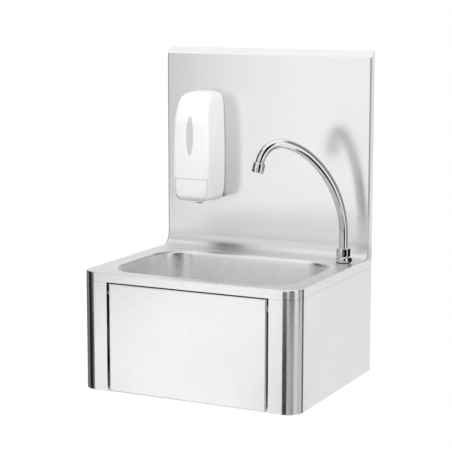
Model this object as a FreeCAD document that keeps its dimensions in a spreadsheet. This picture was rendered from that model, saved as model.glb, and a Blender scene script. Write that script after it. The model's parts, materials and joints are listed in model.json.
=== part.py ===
"""Wall-hung hand wash basin with a knee panel, a timed valve, a swan-neck spout and a soap dispenser.

Millimetres. X runs to the right, Y towards the wall and Z up. The wall is the plane Y = 0, the basin is
centred on X = 0, and Z = 0 is the lower edge of the casing.
"""
import FreeCAD, Part
import Sketcher
import math
import os

from FreeCAD import Placement, Rotation, Vector

doc = FreeCAD.newDocument("HandWashBasin")
sheet = doc.addObject("Spreadsheet::Sheet", "Sizes")

SIZES = {
    # sheet steel body
    "body_width": 400.0,
    "body_depth": 330.0,
    "overall_height": 570.0,
    "deck_height": 204.0,
    "skirt_height": 15.7,
    "corner_radius": 26.0,
    "skin": 1.2,
    "fold_radius": 2.4,
    "splash_depth": 16.0,
    "cap_height": 11.5,
    "cove_radius": 22.0,
    "seam_gap": 0.4,
    "flange_width": 16.0,
    "strip_width": 20.0,
    "strip_skin": 2.0,
    "bar_skin": 2.0,
    "rail_height": 30.0,
    "hook_drop": 37.0,
    "hook_height": 33.0,
    "hook_reach": 9.8,
    "hook_lip": 19.0,
    "hook_skin": 1.5,
    "hook_lift": 19.5,
    "bracket_height": 41.0,
    # knee panel and its pivots
    "stile_width": 50.3,
    "panel_side_gap": 3.4,
    "panel_top_gap": 2.0,
    "panel_return": 15.0,
    "stile_return": 14.0,
    "pivot_drop": 16.3,
    "pivot_setback": 9.0,
    "pin_radius": 2.95,
    "pin_head_radius": 5.0,
    "bush_wall": 1.5,
    "knee_travel": 4.0,
    # bowl
    "bowl_side_land": 33.0,
    "bowl_front_land": 27.0,
    "bowl_rear_land": 73.0,
    "bowl_corner": 60.0,
    "bowl_roll": 8.0,
    "bowl_draft": 6.0,
    "bowl_depth": 120.0,
    "bowl_floor_radius": 35.0,
    "dish_radius": 50.0,
    "dish_depth": 3.0,
    # waste
    "waste_flange_radius": 33.0,
    "waste_flange": 2.0,
    "waste_thread_radius": 23.9,
    "waste_bore_radius": 21.0,
    "waste_thread_length": 30.0,
    "tail_end": 2.0,
    "gasket": 3.0,
    "thin_gasket": 1.0,
    "waste_nut_height": 8.0,
    "waste_nut_across": 60.0,
    # spout
    "spout_from_side": 30.0,
    "spout_from_wall": 60.0,
    "spout_turn": 229.1,
    "tube_radius": 7.25,
    "tube_wall": 1.25,
    "tube_rise": 47.2,
    "long_arc_radius": 182.0,
    "long_arc_angle": 51.7,
    "middle_arc_radius": 118.5,
    "middle_arc_angle": 24.2,
    "top_arc_radius": 38.6,
    "top_arc_angle": 90.0,
    "tube_tip": 8.0,
    "nozzle_radius": 10.6,
    "nozzle_length": 17.0,
    "base_radius": 13.0,
    "base_height": 10.0,
    "spout_nut_across": 23.0,
    "spout_nut_height": 16.0,
    "shank_radius": 10.0,
    "shank_length": 54.0,
    "shank_nut_across": 27.0,
    "swivel_bore_radius": 8.6,
    # timed valve and pipework
    "valve_x": 80.0,
    "valve_height": 45.0,
    "valve_radius": 17.0,
    "valve_neck_radius": 13.0,
    "valve_length": 66.0,
    "beam_setback": 30.0,
    "beam_height": 40.0,
    "beam_flange": 16.0,
    "lock_nut_across": 32.0,
    "stop_radius": 7.0,
    "stop_gap": 8.6,
    "button_radius": 11.0,
    "button_stem_radius": 8.0,
    "button_dome": 21.7,
    "button_travel": 8.7,
    "pad_thickness": 4.4,
    "inlet_radius": 10.48,
    "inlet_spacing": 48.0,
    "inlet_end": 12.0,
    "inlet_thread": 18.0,
    "tee_radius": 12.0,
    "pipe_radius": 6.0,
    "pipe_wall": 1.0,
    "pipe_bend": 25.0,
    "pipe_nut_across": 24.0,
    # soap dispenser
    "soap_from_side": 84.0,
    "soap_drop": 274.0,
    "soap_height": 199.0,
    "soap_depth": 77.0,
    "soap_half_width": 35.5,
    "soap_wall": 2.0,
    "soap_ridge": 7.0,
    "push_bar_height": 42.0,
    "push_bar_depth": 11.0,
    "bar_setback": 8.0,
    "window_width": 13.5,
    "window_height": 67.0,
    "window_rise": 119.0,
    "plate_thickness": 3.0,
    "pump_rise": 16.0,
    "pump_radius": 7.5,
    "pump_setback": 21.0,
    "nozzle_from_wall": 50.0,
    "tank_headroom": 33.0,
    # clearances and fasteners
    "fit": 0.05,
    "ease": 0.3,
    "wall_hole_radius": 4.2,
    "wall_hole_spacing": 260.0,
}


class Size:
    """A length or angle that carries its number and the sheet expression it comes from."""

    def __init__(self, value, text):
        self.value = value
        self.text = text

    def joined(self, sign, other, value):
        return Size(value, f"({self.text}) {sign} ({as_size(other).text})")

    def __add__(self, other):
        return self.joined("+", other, self.value + as_size(other).value)

    def __sub__(self, other):
        return self.joined("-", other, self.value - as_size(other).value)

    def __mul__(self, other):
        return self.joined("*", other, self.value * as_size(other).value)

    def __truediv__(self, other):
        return self.joined("/", other, self.value / as_size(other).value)

    def __radd__(self, other):
        return as_size(other) + self

    def __rsub__(self, other):
        return as_size(other) - self

    def __rmul__(self, other):
        return as_size(other) * self

    def __neg__(self):
        return as_size(0.0) - self


def as_size(amount):
    """Take a plain number or a Size, and give a Size."""
    return amount if isinstance(amount, Size) else Size(float(amount), repr(float(amount)))


def sine(angle):
    """Sine of an angle in degrees."""
    return Size(math.sin(math.radians(angle.value)), f"sin({angle.text})")


def cosine(angle):
    """Cosine of an angle in degrees."""
    return Size(math.cos(math.radians(angle.value)), f"cos({angle.text})")


class Sizes:
    """The sheet's cells, read as attributes."""


S = Sizes()
for row, (alias, number) in enumerate(SIZES.items(), start=1):
    sheet.set(f"A{row}", alias)
    sheet.set(f"B{row}", str(number))
    sheet.setAlias(f"B{row}", alias)
    setattr(S, alias, Size(number, f"Sizes.{alias}"))
doc.recompute()

NODES = []


def node(label, thing):
    """Name a finished piece and keep it for the list of parts."""
    thing.Label = label
    NODES.append(thing)
    return thing


# ---------------------------------------------------------------- primitives

TURNS = {
    "x": Rotation(Vector(0, 1, 0), 90),
    "y": Rotation(Vector(1, 0, 0), -90),
    "z": Rotation(),
}


def bind(thing, prop, amount):
    thing.setExpression(prop, as_size(amount).text)


def place(thing, point, along="z"):
    """Turn a piece so that its own Z runs along an axis, and bind its position."""
    thing.Placement = Placement(Vector(), TURNS[along])
    for axis, amount in zip("xyz", point):
        bind(thing, f"Placement.Base.{axis}", amount)
    return thing


def on_axis(along, low, at):
    """Point at a height along an axis, with the two other coordinates in X, Y, Z order."""
    first, second = at
    return {"x": (low, first, second), "y": (first, low, second), "z": (first, second, low)}[along]


def box(name, x, y, z):
    """A block between a low and a high value on each axis."""
    block = doc.addObject("Part::Box", name)
    for prop, (low, high) in zip(("Length", "Width", "Height"), (x, y, z)):
        bind(block, prop, as_size(high) - low)
    return place(block, (x[0], y[0], z[0]))


def rod(name, along, radius, low, high, at):
    """A round bar from low to high on an axis."""
    bar = doc.addObject("Part::Cylinder", name)
    bind(bar, "Radius", radius)
    bind(bar, "Height", as_size(high) - low)
    return place(bar, on_axis(along, low, at), along)


def cone(name, along, low_radius, high_radius, low, high, at):
    taper = doc.addObject("Part::Cone", name)
    bind(taper, "Radius1", low_radius)
    bind(taper, "Radius2", high_radius)
    bind(taper, "Height", as_size(high) - low)
    return place(taper, on_axis(along, low, at), along)


def hexagon(name, along, across, low, high, at):
    """A six-sided bar, given its size across the flats."""
    bar = doc.addObject("Part::Prism", name)
    bar.Polygon = 6
    bind(bar, "Circumradius", as_size(across) / math.sqrt(3))
    bind(bar, "Height", as_size(high) - low)
    return place(bar, on_axis(along, low, at), along)


def fused(name, *things):
    whole = doc.addObject("Part::MultiFuse", name)
    whole.Shapes = list(things)
    whole.Refine = True
    return whole


def cut(name, base, *tools):
    tool = tools[0] if len(tools) == 1 else fused(name + "Tool", *tools)
    rest = doc.addObject("Part::Cut", name)
    rest.Base = base
    rest.Tool = tool
    rest.Refine = True
    return rest


def common(name, first, second):
    shared = doc.addObject("Part::Common", name)
    shared.Base = first
    shared.Tool = second
    return shared


def group(name, *things):
    """Like pieces that share one node as separate solids."""
    together = doc.addObject("Part::Compound", name)
    together.Links = list(things)
    return together


def ring(name, along, outer, inner, low, high, at):
    """A washer or sleeve."""
    solid = rod(name + "Outer", along, outer, low, high, at)
    return cut(name, solid, rod(name + "Hole", along, inner, low, high, at))


def hex_nut(name, along, across, bore, low, high, at):
    """A plain nut whose corners are turned off at both faces."""
    body = hexagon(name + "Hex", along, across, low, high, at)
    middle = (as_size(low) + high) / 2
    tall = as_size(high) - low
    reach = as_size(across) / 2 + tall * 0.9
    lower = cone(name + "LowCone", along, as_size(across) / 2 * 0.98, reach, low, middle, at)
    upper = cone(name + "HighCone", along, reach, as_size(across) / 2 * 0.98, middle, high, at)
    turned = common(name + "Turned", body, fused(name + "Cones", lower, upper))
    return cut(name, turned, rod(name + "Bore", along, bore, low, high, at))


# ---------------------------------------------------------------- bodies made from sketches


def origin_plane(body, role):
    return next(feature for feature in body.Origin.OriginFeatures if feature.Role == role)


def sketch_on(body, name, role, height=0.0):
    """An empty sketch on one of the body's origin planes, raised along the plane's normal."""
    sketch = body.newObject("Sketcher::SketchObject", name)
    sketch.AttachmentSupport = [(origin_plane(body, role), "")]
    sketch.MapMode = "FlatFace"
    bind(sketch, "AttachmentOffset.Base.z", height)
    return sketch


def pin_point(sketch, geometry, vertex, across, up):
    """Hold a point of the sketch at two bound distances from its origin."""
    for kind, amount in (("DistanceX", across), ("DistanceY", up)):
        index = sketch.addConstraint(
            Sketcher.Constraint(kind, -1, 1, geometry, vertex, as_size(amount).value)
        )
        bind(sketch, f"Constraints[{index}]", amount)


def outline(sketch, corners):
    """A closed outline of straight lines through corners that are bound one by one."""
    points = [Vector(as_size(a).value, as_size(b).value, 0) for a, b in corners]
    count = len(points)
    for i in range(count):
        sketch.addGeometry(Part.LineSegment(points[i], points[(i + 1) % count]), False)
    for i in range(count):
        sketch.addConstraint(Sketcher.Constraint("Coincident", i, 2, (i + 1) % count, 1))
    for i, (across, up) in enumerate(corners):
        pin_point(sketch, i, 1, across, up)
    return sketch


def rectangle(sketch, low_a, high_a, low_b, high_b):
    return outline(sketch, [(low_a, low_b), (high_a, low_b), (high_a, high_b), (low_a, high_b)])


def circle(sketch, across, up, radius):
    """A circle whose centre and radius are bound."""
    centre = Vector(as_size(across).value, as_size(up).value, 0)
    shape = Part.Circle(centre, Vector(0, 0, 1), as_size(radius).value)
    index = sketch.addGeometry(shape, False)
    pin_point(sketch, index, 3, across, up)
    number = sketch.addConstraint(Sketcher.Constraint("Radius", index, as_size(radius).value))
    bind(sketch, f"Constraints[{number}]", radius)
    return sketch


def rounded_rectangle(sketch, half_a, half_b, centre_b, radius):
    """A rectangle with round corners, centred on the sketch's upright axis."""
    r = as_size(radius)
    inner_a = as_size(half_a) - r
    inner_b = as_size(half_b) - r
    corners = [
        (inner_a, inner_b, 0),
        (-inner_a, inner_b, 90),
        (-inner_a, -inner_b, 180),
        (inner_a, -inner_b, 270),
    ]
    arcs = []
    for across, up, start in corners:
        middle = Vector(across.value, (centre_b + up).value, 0)
        ring_line = Part.Circle(middle, Vector(0, 0, 1), r.value)
        first, last = math.radians(start), math.radians(start + 90)
        arcs.append(sketch.addGeometry(Part.ArcOfCircle(ring_line, first, last), False))
    for i, arc in enumerate(arcs):
        after = arcs[(i + 1) % 4]
        end = sketch.Geometry[arc].EndPoint
        start = sketch.Geometry[after].StartPoint
        line = sketch.addGeometry(Part.LineSegment(end, start), False)
        sketch.addConstraint(Sketcher.Constraint("Tangent", arc, 2, line, 1))
        sketch.addConstraint(Sketcher.Constraint("Tangent", line, 2, after, 1))
    for arc, (across, up, start) in zip(arcs, corners):
        pin_point(sketch, arc, 3, across, centre_b + up)
    number = sketch.addConstraint(Sketcher.Constraint("Radius", arcs[0], r.value))
    bind(sketch, f"Constraints[{number}]", r)
    return sketch


def feature(body, kind, name, profile, length=None, reverse=False):
    """Pad, pocket or the like from a sketch, with its length bound."""
    made = body.newObject(f"PartDesign::{kind}", name)
    made.Profile = profile
    if length is not None:
        bind(made, "Length", length)
    made.Reversed = reverse
    doc.recompute()
    return made


def rounded(body, name, base, test, radius):
    """Round the edges of a feature that pass a test on the edge's middle point."""
    names = [
        f"Edge{i}"
        for i, edge in enumerate(base.Shape.Edges, start=1)
        if test(edge, edge.valueAt((edge.FirstParameter + edge.LastParameter) / 2))
    ]
    fillet = body.newObject("PartDesign::Fillet", name)
    fillet.Base = (base, names)
    bind(fillet, "Radius", radius)
    doc.recompute()
    return fillet


def hollowed(body, name, base, test, wall):
    """Leave a wall inside the faces of a feature, open at the faces that pass a test."""
    names = [
        f"Face{i}"
        for i, face in enumerate(base.Shape.Faces, start=1)
        if test(face.CenterOfMass, face.normalAt(0, 0))
    ]
    shell = body.newObject("PartDesign::Thickness", name)
    shell.Base = (base, names)
    bind(shell, "Value", wall)
    shell.Reversed = True
    doc.recompute()
    return shell


def near(first, second):
    return abs(first - as_size(second).value) < 0.01


def mirrored(side, low, high):
    """A stretch on the right, or the same stretch on the left, with the lower value first."""
    return (as_size(low), as_size(high)) if side > 0 else (-as_size(high), -as_size(low))


SIDES = (("Right", 1), ("Left", -1))

# ---------------------------------------------------------------- places that pieces share

half = S.body_width / 2
front = -S.body_depth
splash_front = -S.splash_depth
casing_top = S.deck_height - S.skirt_height
deck_under = S.deck_height - S.skin
opening_half = half - S.stile_width

panel_half = opening_half - S.panel_side_gap
panel_top = casing_top - S.panel_top_gap
panel_back = front + S.skin
pivot_y = front + S.pivot_setback
pivot_z = panel_top - S.pivot_drop

bowl_length = (half - S.bowl_side_land) * 2
bowl_width = S.body_depth - S.bowl_front_land - S.bowl_rear_land
bowl_y = front + S.bowl_front_land + bowl_width / 2
bowl_floor = S.deck_height - S.bowl_depth
dish_floor = bowl_floor - S.dish_depth
bowl_under = dish_floor - S.skin
drain = (as_size(0.0), bowl_y)

beam_front = front + S.beam_setback
beam_back = beam_front + S.bar_skin
valve_axis = (S.valve_x, S.valve_height)
valve_end = beam_back + S.valve_length

spout_x = half - S.spout_from_side
spout_y = -S.spout_from_wall
spout_axis = (spout_x, spout_y)
base_low = S.deck_height + S.thin_gasket
base_top = base_low + S.base_height - S.thin_gasket
neck_top = base_top + S.base_height
swivel_floor = S.deck_height - S.base_height - S.bar_skin
shank_end = S.deck_height - S.shank_length

soap_x = S.soap_from_side - half
soap_bottom = S.overall_height - S.soap_drop
soap_back = splash_front - S.ease
soap_front = splash_front - S.soap_depth
soap_hinge_y = soap_back - 8.0
soap_hinge_z = soap_bottom + 8.0
soap_top = soap_bottom + S.soap_height
plate_front = splash_front - S.plate_thickness
shelf_top = soap_bottom + 45.0
pump_height = soap_bottom + S.pump_rise
plate_screws = (soap_hinge_z + 58.0, soap_hinge_z + 148.0)
plate_screw_radius = as_size(2.0)


# ---------------------------------------------------------------- sheet steel body


def deck_backsplash():
    """Deck, skirt, cove and backsplash, folded and welded as one sheet."""
    body = doc.addObject("PartDesign::Body", "DeckBody")
    plan = rectangle(sketch_on(body, "DeckPlan", "XY_Plane", casing_top), -half, half, front, 0)
    deck = feature(body, "Pad", "DeckBlock", plan, S.skirt_height)
    deck = rounded(
        body,
        "FrontCorners",
        deck,
        lambda edge, p: near(p.y, front) and near(abs(p.x), half),
        S.corner_radius,
    )
    side = outline(
        sketch_on(body, "SplashSide", "YZ_Plane", -half),
        [
            (splash_front, casing_top),
            (splash_front, S.overall_height - S.cap_height),
            (0, S.overall_height),
            (0, casing_top),
        ],
    )
    splash = feature(body, "Pad", "SplashBlock", side, S.body_width)
    cove = rounded(
        body,
        "Cove",
        splash,
        lambda edge, p: near(p.y, splash_front) and near(p.z, S.deck_height) and near(p.x, 0),
        S.cove_radius,
    )

    def on_rim(edge, p):
        on_side = near(abs(p.x), half) and edge.BoundBox.XLength < 1
        on_side = on_side and p.y < -1 and p.z < (S.overall_height - S.cap_height).value
        in_front = near(p.z, S.deck_height) and p.y < (front + S.corner_radius).value
        return p.z > casing_top.value + 1 and (on_side or in_front)

    folds = rounded(body, "Folds", cove, on_rim, S.fold_radius)
    sheet_steel = hollowed(
        body,
        "SheetSteel",
        folds,
        lambda centre, normal: near(centre.y, 0) or near(centre.z, casing_top),
        S.skin,
    )
    hole = rounded_rectangle(
        sketch_on(body, "BowlOutline", "XY_Plane", S.deck_height),
        bowl_length / 2 + S.bowl_roll,
        bowl_width / 2 + S.bowl_roll,
        bowl_y,
        S.bowl_corner + S.bowl_roll,
    )
    feature(body, "Pocket", "BowlOpening", hole, S.skin * 2)
    spout = sketch_on(body, "SpoutCircle", "XY_Plane", S.deck_height)
    feature(body, "Pocket", "SpoutHole", circle(spout, *spout_axis, S.shank_radius + S.ease), S.skin * 2)
    for i, height in enumerate(plate_screws):
        dot = circle(sketch_on(body, f"ScrewDot{i}", "XZ_Plane"), soap_x, height, plate_screw_radius + S.ease)
        feature(body, "Pocket", f"ScrewHole{i}", dot, S.splash_depth, True)
    lip = rectangle(
        sketch_on(body, "LipPlan", "XY_Plane", casing_top),
        -opening_half,
        opening_half,
        front + S.skin / 2,
        front + S.flange_width,
    )
    feature(body, "Pad", "SkirtLip", lip, S.skin)
    return node("deck_backsplash", body)


def rounded_wire(half_x, half_y, radius, z):
    """A flat rounded rectangle about the middle of the bowl."""
    cy = bowl_y.value
    points = []
    for sx, sy, start in ((1, 1, 0), (-1, 1, 90), (-1, -1, 180), (1, -1, 270)):
        centre = Vector(sx * (half_x - radius), cy + sy * (half_y - radius), z)
        points.append(
            [
                centre + Vector(math.cos(math.radians(start + turn)), math.sin(math.radians(start + turn)), 0) * radius
                for turn in (0, 45, 90)
            ]
        )
    edges = []
    for i, (first, middle, last) in enumerate(points):
        edges.append(Part.Arc(first, middle, last).toShape())
        edges.append(Part.LineSegment(last, points[(i + 1) % 4][0]).toShape())
    return Part.Wire(edges)


def bowl_sections(shift):
    """Offset from the bowl's outline and height, from the rim to the floor, for one skin of the sheet."""
    draft = math.radians(S.bowl_draft.value)
    roll = S.bowl_roll.value
    corner = S.bowl_floor_radius.value
    rim_z = S.deck_height.value - roll
    sections = []
    turns = 4
    for i in range(turns + 1):
        angle = (math.pi / 2 - draft) * i / turns
        sections.append((roll - (roll - shift) * math.sin(angle), rim_z + (roll - shift) * math.cos(angle)))
    wall_out = roll - roll * math.cos(draft)
    wall_top = rim_z + roll * math.sin(draft)
    corner_z = bowl_floor.value + corner
    fall = (wall_top - (corner_z - corner * math.sin(draft))) / math.cos(draft)
    corner_out = wall_out - fall * math.sin(draft) - corner * math.cos(draft)
    turns = 5
    for i in range(turns + 1):
        angle = draft + (math.pi / 2 - draft) * i / turns
        reach = corner + shift
        sections.append((corner_out + reach * math.cos(angle), corner_z - reach * math.sin(angle)))
    return sections


def bowl_solid(shift, top):
    """The bowl filled up to a height, for one skin of the sheet."""
    rings = []
    for out, z in [(S.bowl_roll.value, top)] + bowl_sections(shift):
        size_x = bowl_length.value / 2 + out
        size_y = bowl_width.value / 2 + out
        rings.append(rounded_wire(size_x, size_y, S.bowl_corner.value + out, z))
    return Part.makeLoft(rings, True, True)


def basin_bowl():
    """Pressed bowl with a rolled rim that meets the deck edge to edge, and a dished seat for the waste."""
    skin = S.skin.value
    deck = S.deck_height.value
    dish = S.dish_radius.value
    seat = S.waste_flange_radius.value + 1.0
    floor = bowl_floor.value
    low = dish_floor.value
    centre = Vector(0, bowl_y.value, 0)
    outside = bowl_solid(skin, deck)
    inside = bowl_solid(0.0, deck + 5.0)
    outer_dish = Part.makeCone(seat + skin, dish + skin, floor - low, centre + Vector(0, 0, low - skin))
    inner_dish = Part.makeCone(seat, dish, floor - low, centre + Vector(0, 0, low))
    waste_hole = S.waste_thread_radius.value + 0.6
    hole = Part.makeCylinder(waste_hole, skin * 4, centre + Vector(0, 0, low - skin * 2))
    bowl = doc.addObject("Part::Feature", "Bowl")
    bowl.Shape = outside.fuse(outer_dish).cut(inside).cut(inner_dish).cut(hole).removeSplitter()
    bowl.Placement = Placement()
    return node("basin_bowl", bowl)


def side_panel(word, side):
    """One side of the casing: side sheet, round front corner, stile, rear flange and bottom flange."""
    body = doc.addObject("PartDesign::Body", f"SideBody{word}")
    height = casing_top - S.seam_gap
    inner, outer = opening_half * side, half * side
    plan = rectangle(sketch_on(body, f"SidePlan{word}", "XY_Plane"), inner, outer, front, 0)
    block = feature(body, "Pad", f"SideBlock{word}", plan, height)
    block = rounded(
        body,
        f"SideCorner{word}",
        block,
        lambda edge, p: near(p.y, front) and near(p.x, outer),
        S.corner_radius,
    )
    hollowed(
        body,
        f"SideSheet{word}",
        block,
        lambda centre, normal: near(centre.z, 0) or near(centre.z, height) or near(centre.x, inner),
        S.skin,
    )
    spare = rectangle(
        sketch_on(body, f"RearTrim{word}", "XY_Plane", height + 1.0),
        inner - side * 1.0,
        outer - S.flange_width * side,
        -S.skin * 2,
        1.0,
    )
    feature(body, "Pocket", f"RearCut{word}", spare, height + 2.0)
    stile = rectangle(
        sketch_on(body, f"StilePlan{word}", "XY_Plane"),
        inner,
        inner + S.skin * side,
        front + S.skin / 2,
        front + S.stile_return,
    )
    feature(body, "Pad", f"StileReturn{word}", stile, height)
    foot = rectangle(
        sketch_on(body, f"FootPlan{word}", "XY_Plane"),
        outer - S.flange_width * side,
        outer - S.skin / 2 * side,
        front + S.corner_radius,
        -S.skin / 2,
    )
    feature(body, "Pad", f"BottomFlange{word}", foot, S.skin)
    far = inner + (S.skin + 1.0) if side > 0 else inner + 1.0
    dot = circle(sketch_on(body, f"PivotDot{word}", "YZ_Plane", far), pivot_y, pivot_z, S.pin_radius + S.fit)
    feature(body, "Pocket", f"PivotHole{word}", dot, S.skin + 2.0)
    return node(f"side_panel_{word.lower()}", body)


def backing_strips():
    """Strips behind the seam that join the deck's skirt to the casing."""
    strips = []
    z = (casing_top - S.strip_width / 2, casing_top + S.strip_width / 2)
    inside = half - S.skin
    for word, side in SIDES:
        x = mirrored(side, inside - S.strip_skin, inside)
        y = (front + S.corner_radius + 10.0, -S.flange_width - 10.0)
        strips.append(box(f"SideStrip{word}", x, y, z))
        x = mirrored(side, opening_half + S.skin + S.ease, half - S.corner_radius)
        strips.append(box(f"FrontStrip{word}", x, (panel_back, panel_back + S.strip_skin), z))
    return node("backing_strips", group("BackingStrips", *strips))


def wall_holes(name, height, thickness):
    """Two screw holes through a strip that lies on the wall."""
    reach = S.wall_hole_spacing / 2
    return [
        rod(f"{name}{word}", "y", S.wall_hole_radius, -thickness - 1.0, 1.0, (reach * side, height))
        for word, side in SIDES
    ]


def lower_wall_rail():
    """Flat bar between the casing's rear flanges, with the two lower wall screws."""
    reach = half - S.flange_width
    bar = box("LowerBar", (-reach, reach), (-S.bar_skin, 0), (0, S.rail_height))
    holes = wall_holes("LowerHole", S.rail_height / 2, S.bar_skin)
    return node("lower_wall_rail", cut("LowerRail", bar, *holes))


hook_top = S.overall_height - S.hook_drop
sheet_back = splash_front + S.skin
hook_shelf = hook_top - S.hook_skin
bracket_shelf = hook_shelf - S.hook_lift


def hanging_rail():
    """Hook-shaped rail welded behind the backsplash; it drops over the wall bracket."""
    x = (-half * 0.85, half * 0.85)
    end = sheet_back + S.hook_reach
    web = box("HookWeb", x, (sheet_back, sheet_back + S.hook_skin), (hook_top - S.hook_height, hook_top))
    shelf = box("HookShelf", x, (sheet_back, end), (hook_shelf, hook_top))
    lip = box("HookLip", x, (end - S.hook_skin, end), (hook_top - S.hook_lip, hook_top))
    return node("hanging_rail", fused("HangingRail", web, shelf, lip))


def wall_bracket():
    """Wall strip with an upstanding lip that carries the hanging rail."""
    x = (-half * 0.8, half * 0.8)
    lip_y = sheet_back + S.hook_skin * 2 + S.ease * 4
    low = bracket_shelf - S.hook_skin
    plate = box("BracketPlate", x, (-S.hook_skin, 0), (bracket_shelf - S.bracket_height, bracket_shelf))
    shelf = box("BracketShelf", x, (lip_y, 0), (low, bracket_shelf))
    lip = box("BracketLip", x, (lip_y, lip_y + S.hook_skin), (low, hook_shelf))
    whole = fused("BracketWhole", plate, shelf, lip)
    holes = wall_holes("UpperHole", bracket_shelf - S.bracket_height / 2, S.hook_skin)
    return node("wall_bracket", cut("WallBracket", whole, *holes))


# ---------------------------------------------------------------- knee panel


def knee_panel():
    """Push panel: a shallow tray of sheet steel that hangs from two pivots."""
    body = doc.addObject("PartDesign::Body", "PanelBody")
    back = front + S.panel_return
    plan = rectangle(sketch_on(body, "PanelPlan", "XY_Plane"), -panel_half, panel_half, front, back)
    block = feature(body, "Pad", "PanelBlock", plan, panel_top)
    block = rounded(body, "PanelFolds", block, lambda edge, p: near(p.y, front), S.fold_radius)
    hollowed(body, "PanelTray", block, lambda centre, normal: near(centre.y, back), S.skin)
    dot = circle(
        sketch_on(body, "BushDot", "YZ_Plane", panel_half + 1.0),
        pivot_y,
        pivot_z,
        S.pin_radius + S.fit * 2 + S.bush_wall,
    )
    feature(body, "Pocket", "BushHoles", dot, panel_half * 2 + 2.0)
    return node("knee_panel", body)


bush_flange = as_size(1.0)
bush_inner = panel_half - S.skin - 2.3
pin_inner = bush_inner - 1.8


def hinge_pins():
    """Two pivot pins riveted in the stiles."""
    pins = []
    for word, side in SIDES:
        at = (pivot_y, pivot_z)
        collar = mirrored(side, panel_half + bush_flange + S.ease, opening_half)
        head = mirrored(side, opening_half + S.skin, opening_half + S.skin + 2.0)
        shaft = mirrored(side, pin_inner, opening_half + S.skin + 2.0)
        pins.append(
            fused(
                f"Pin{word}",
                rod(f"PinShaft{word}", "x", S.pin_radius, *shaft, at),
                rod(f"PinCollar{word}", "x", S.pin_head_radius, *collar, at),
                rod(f"PinHead{word}", "x", S.pin_head_radius, *head, at),
            )
        )
    return node("hinge_pins", group("HingePins", *pins))


def pin_clips():
    """Spring clips on the inner ends of the pivot pins."""
    clips = [
        ring(
            f"Clip{word}",
            "x",
            S.pin_head_radius + 0.5,
            S.pin_radius + S.fit,
            *mirrored(side, pin_inner + 0.4, bush_inner - S.ease),
            (pivot_y, pivot_z),
        )
        for word, side in SIDES
    ]
    return node("pin_clips", group("PinClips", *clips))


def panel_bushes():
    """Flanged plastic bushes pressed into the panel's side returns."""
    bushes = []
    bore = S.pin_radius + S.fit
    wall = bore + S.bush_wall
    for word, side in SIDES:
        at = (pivot_y, pivot_z)
        sleeve = rod(f"BushSleeve{word}", "x", wall, *mirrored(side, bush_inner, panel_half + bush_flange), at)
        rim = rod(f"BushRim{word}", "x", wall + 2.0, *mirrored(side, panel_half, panel_half + bush_flange), at)
        hole = rod(f"BushBore{word}", "x", bore, *mirrored(side, bush_inner - 1.0, panel_half + 2.0), at)
        bushes.append(cut(f"Bush{word}", fused(f"BushWhole{word}", sleeve, rim), hole))
    return node("panel_bushes", group("PanelBushes", *bushes))


def panel_glide():
    """Small plastic pad on the panel's top edge that keeps it from rattling against the skirt."""
    x = (-panel_half + 10.0, -panel_half + 25.0)
    y = (front + S.fold_radius, front + S.panel_return - 2.0)
    return node("panel_glide", box("PanelGlide", x, y, (panel_top, casing_top - S.ease * 2)))


def push_pad():
    """Rubber pad on the back of the panel, in line with the valve button."""
    pad = rod("PushPad", "y", S.button_radius + 2.0, panel_back, panel_back + S.pad_thickness, valve_axis)
    return node("push_pad", pad)


# ---------------------------------------------------------------- bowl waste

flange_low = dish_floor + S.thin_gasket
flange_top = flange_low + S.waste_flange
waste_nut_top = bowl_under - S.gasket
crossbar_low = dish_floor - 12.0


def waste_body():
    """Flanged waste with a thread for the back nut, a thread for the trap and a crossbar for the screw."""
    at = drain
    reach = S.waste_thread_radius
    upper_end = waste_nut_top - S.waste_nut_height - 4.0
    outside = fused(
        "WasteOutside",
        rod("WasteFlange", "z", S.waste_flange_radius, flange_low, flange_top, at),
        rod("WasteUpperThread", "z", reach, upper_end, flange_top, at),
        rod("WasteWaist", "z", reach - 0.8, S.tail_end, flange_top, at),
        rod("WasteTailThread", "z", reach, S.tail_end, S.tail_end + S.waste_thread_length, at),
    )
    tube = cut(
        "WasteTube",
        outside,
        rod("WasteBore", "z", S.waste_bore_radius, S.tail_end - 1.0, flange_top + 1.0, at),
        cone(
            "WasteSeat",
            "z",
            S.waste_bore_radius + 4.0,
            S.waste_bore_radius + 8.0,
            flange_top - 1.4,
            flange_top + 0.2,
            at,
        ),
    )
    reach_x = S.waste_bore_radius + 1.0
    bar = box("WasteBar", (-reach_x, reach_x), (bowl_y - 3.0, bowl_y + 3.0), (crossbar_low, crossbar_low + 4.0))
    whole = fused("WasteWhole", tube, bar)
    return node("waste_body", cut("Waste", whole, rod("BarHole", "z", 2.5 + S.fit, 0, flange_top, at)))


def waste_gaskets():
    """Thin seal under the flange and thick seal under the bowl."""
    hole = S.waste_thread_radius + S.fit
    rim = S.waste_flange_radius
    upper = ring("UpperSeal", "z", rim - 0.5, hole, dish_floor, flange_low, drain)
    lower = ring("LowerSeal", "z", rim - 1.0, hole, waste_nut_top, bowl_under, drain)
    return node("waste_gaskets", group("WasteGaskets", upper, lower))


def waste_nut():
    low = waste_nut_top - S.waste_nut_height
    bore = S.waste_thread_radius + S.fit
    return node("waste_nut", hex_nut("WasteNut", "z", S.waste_nut_across, bore, low, waste_nut_top, drain))


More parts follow.
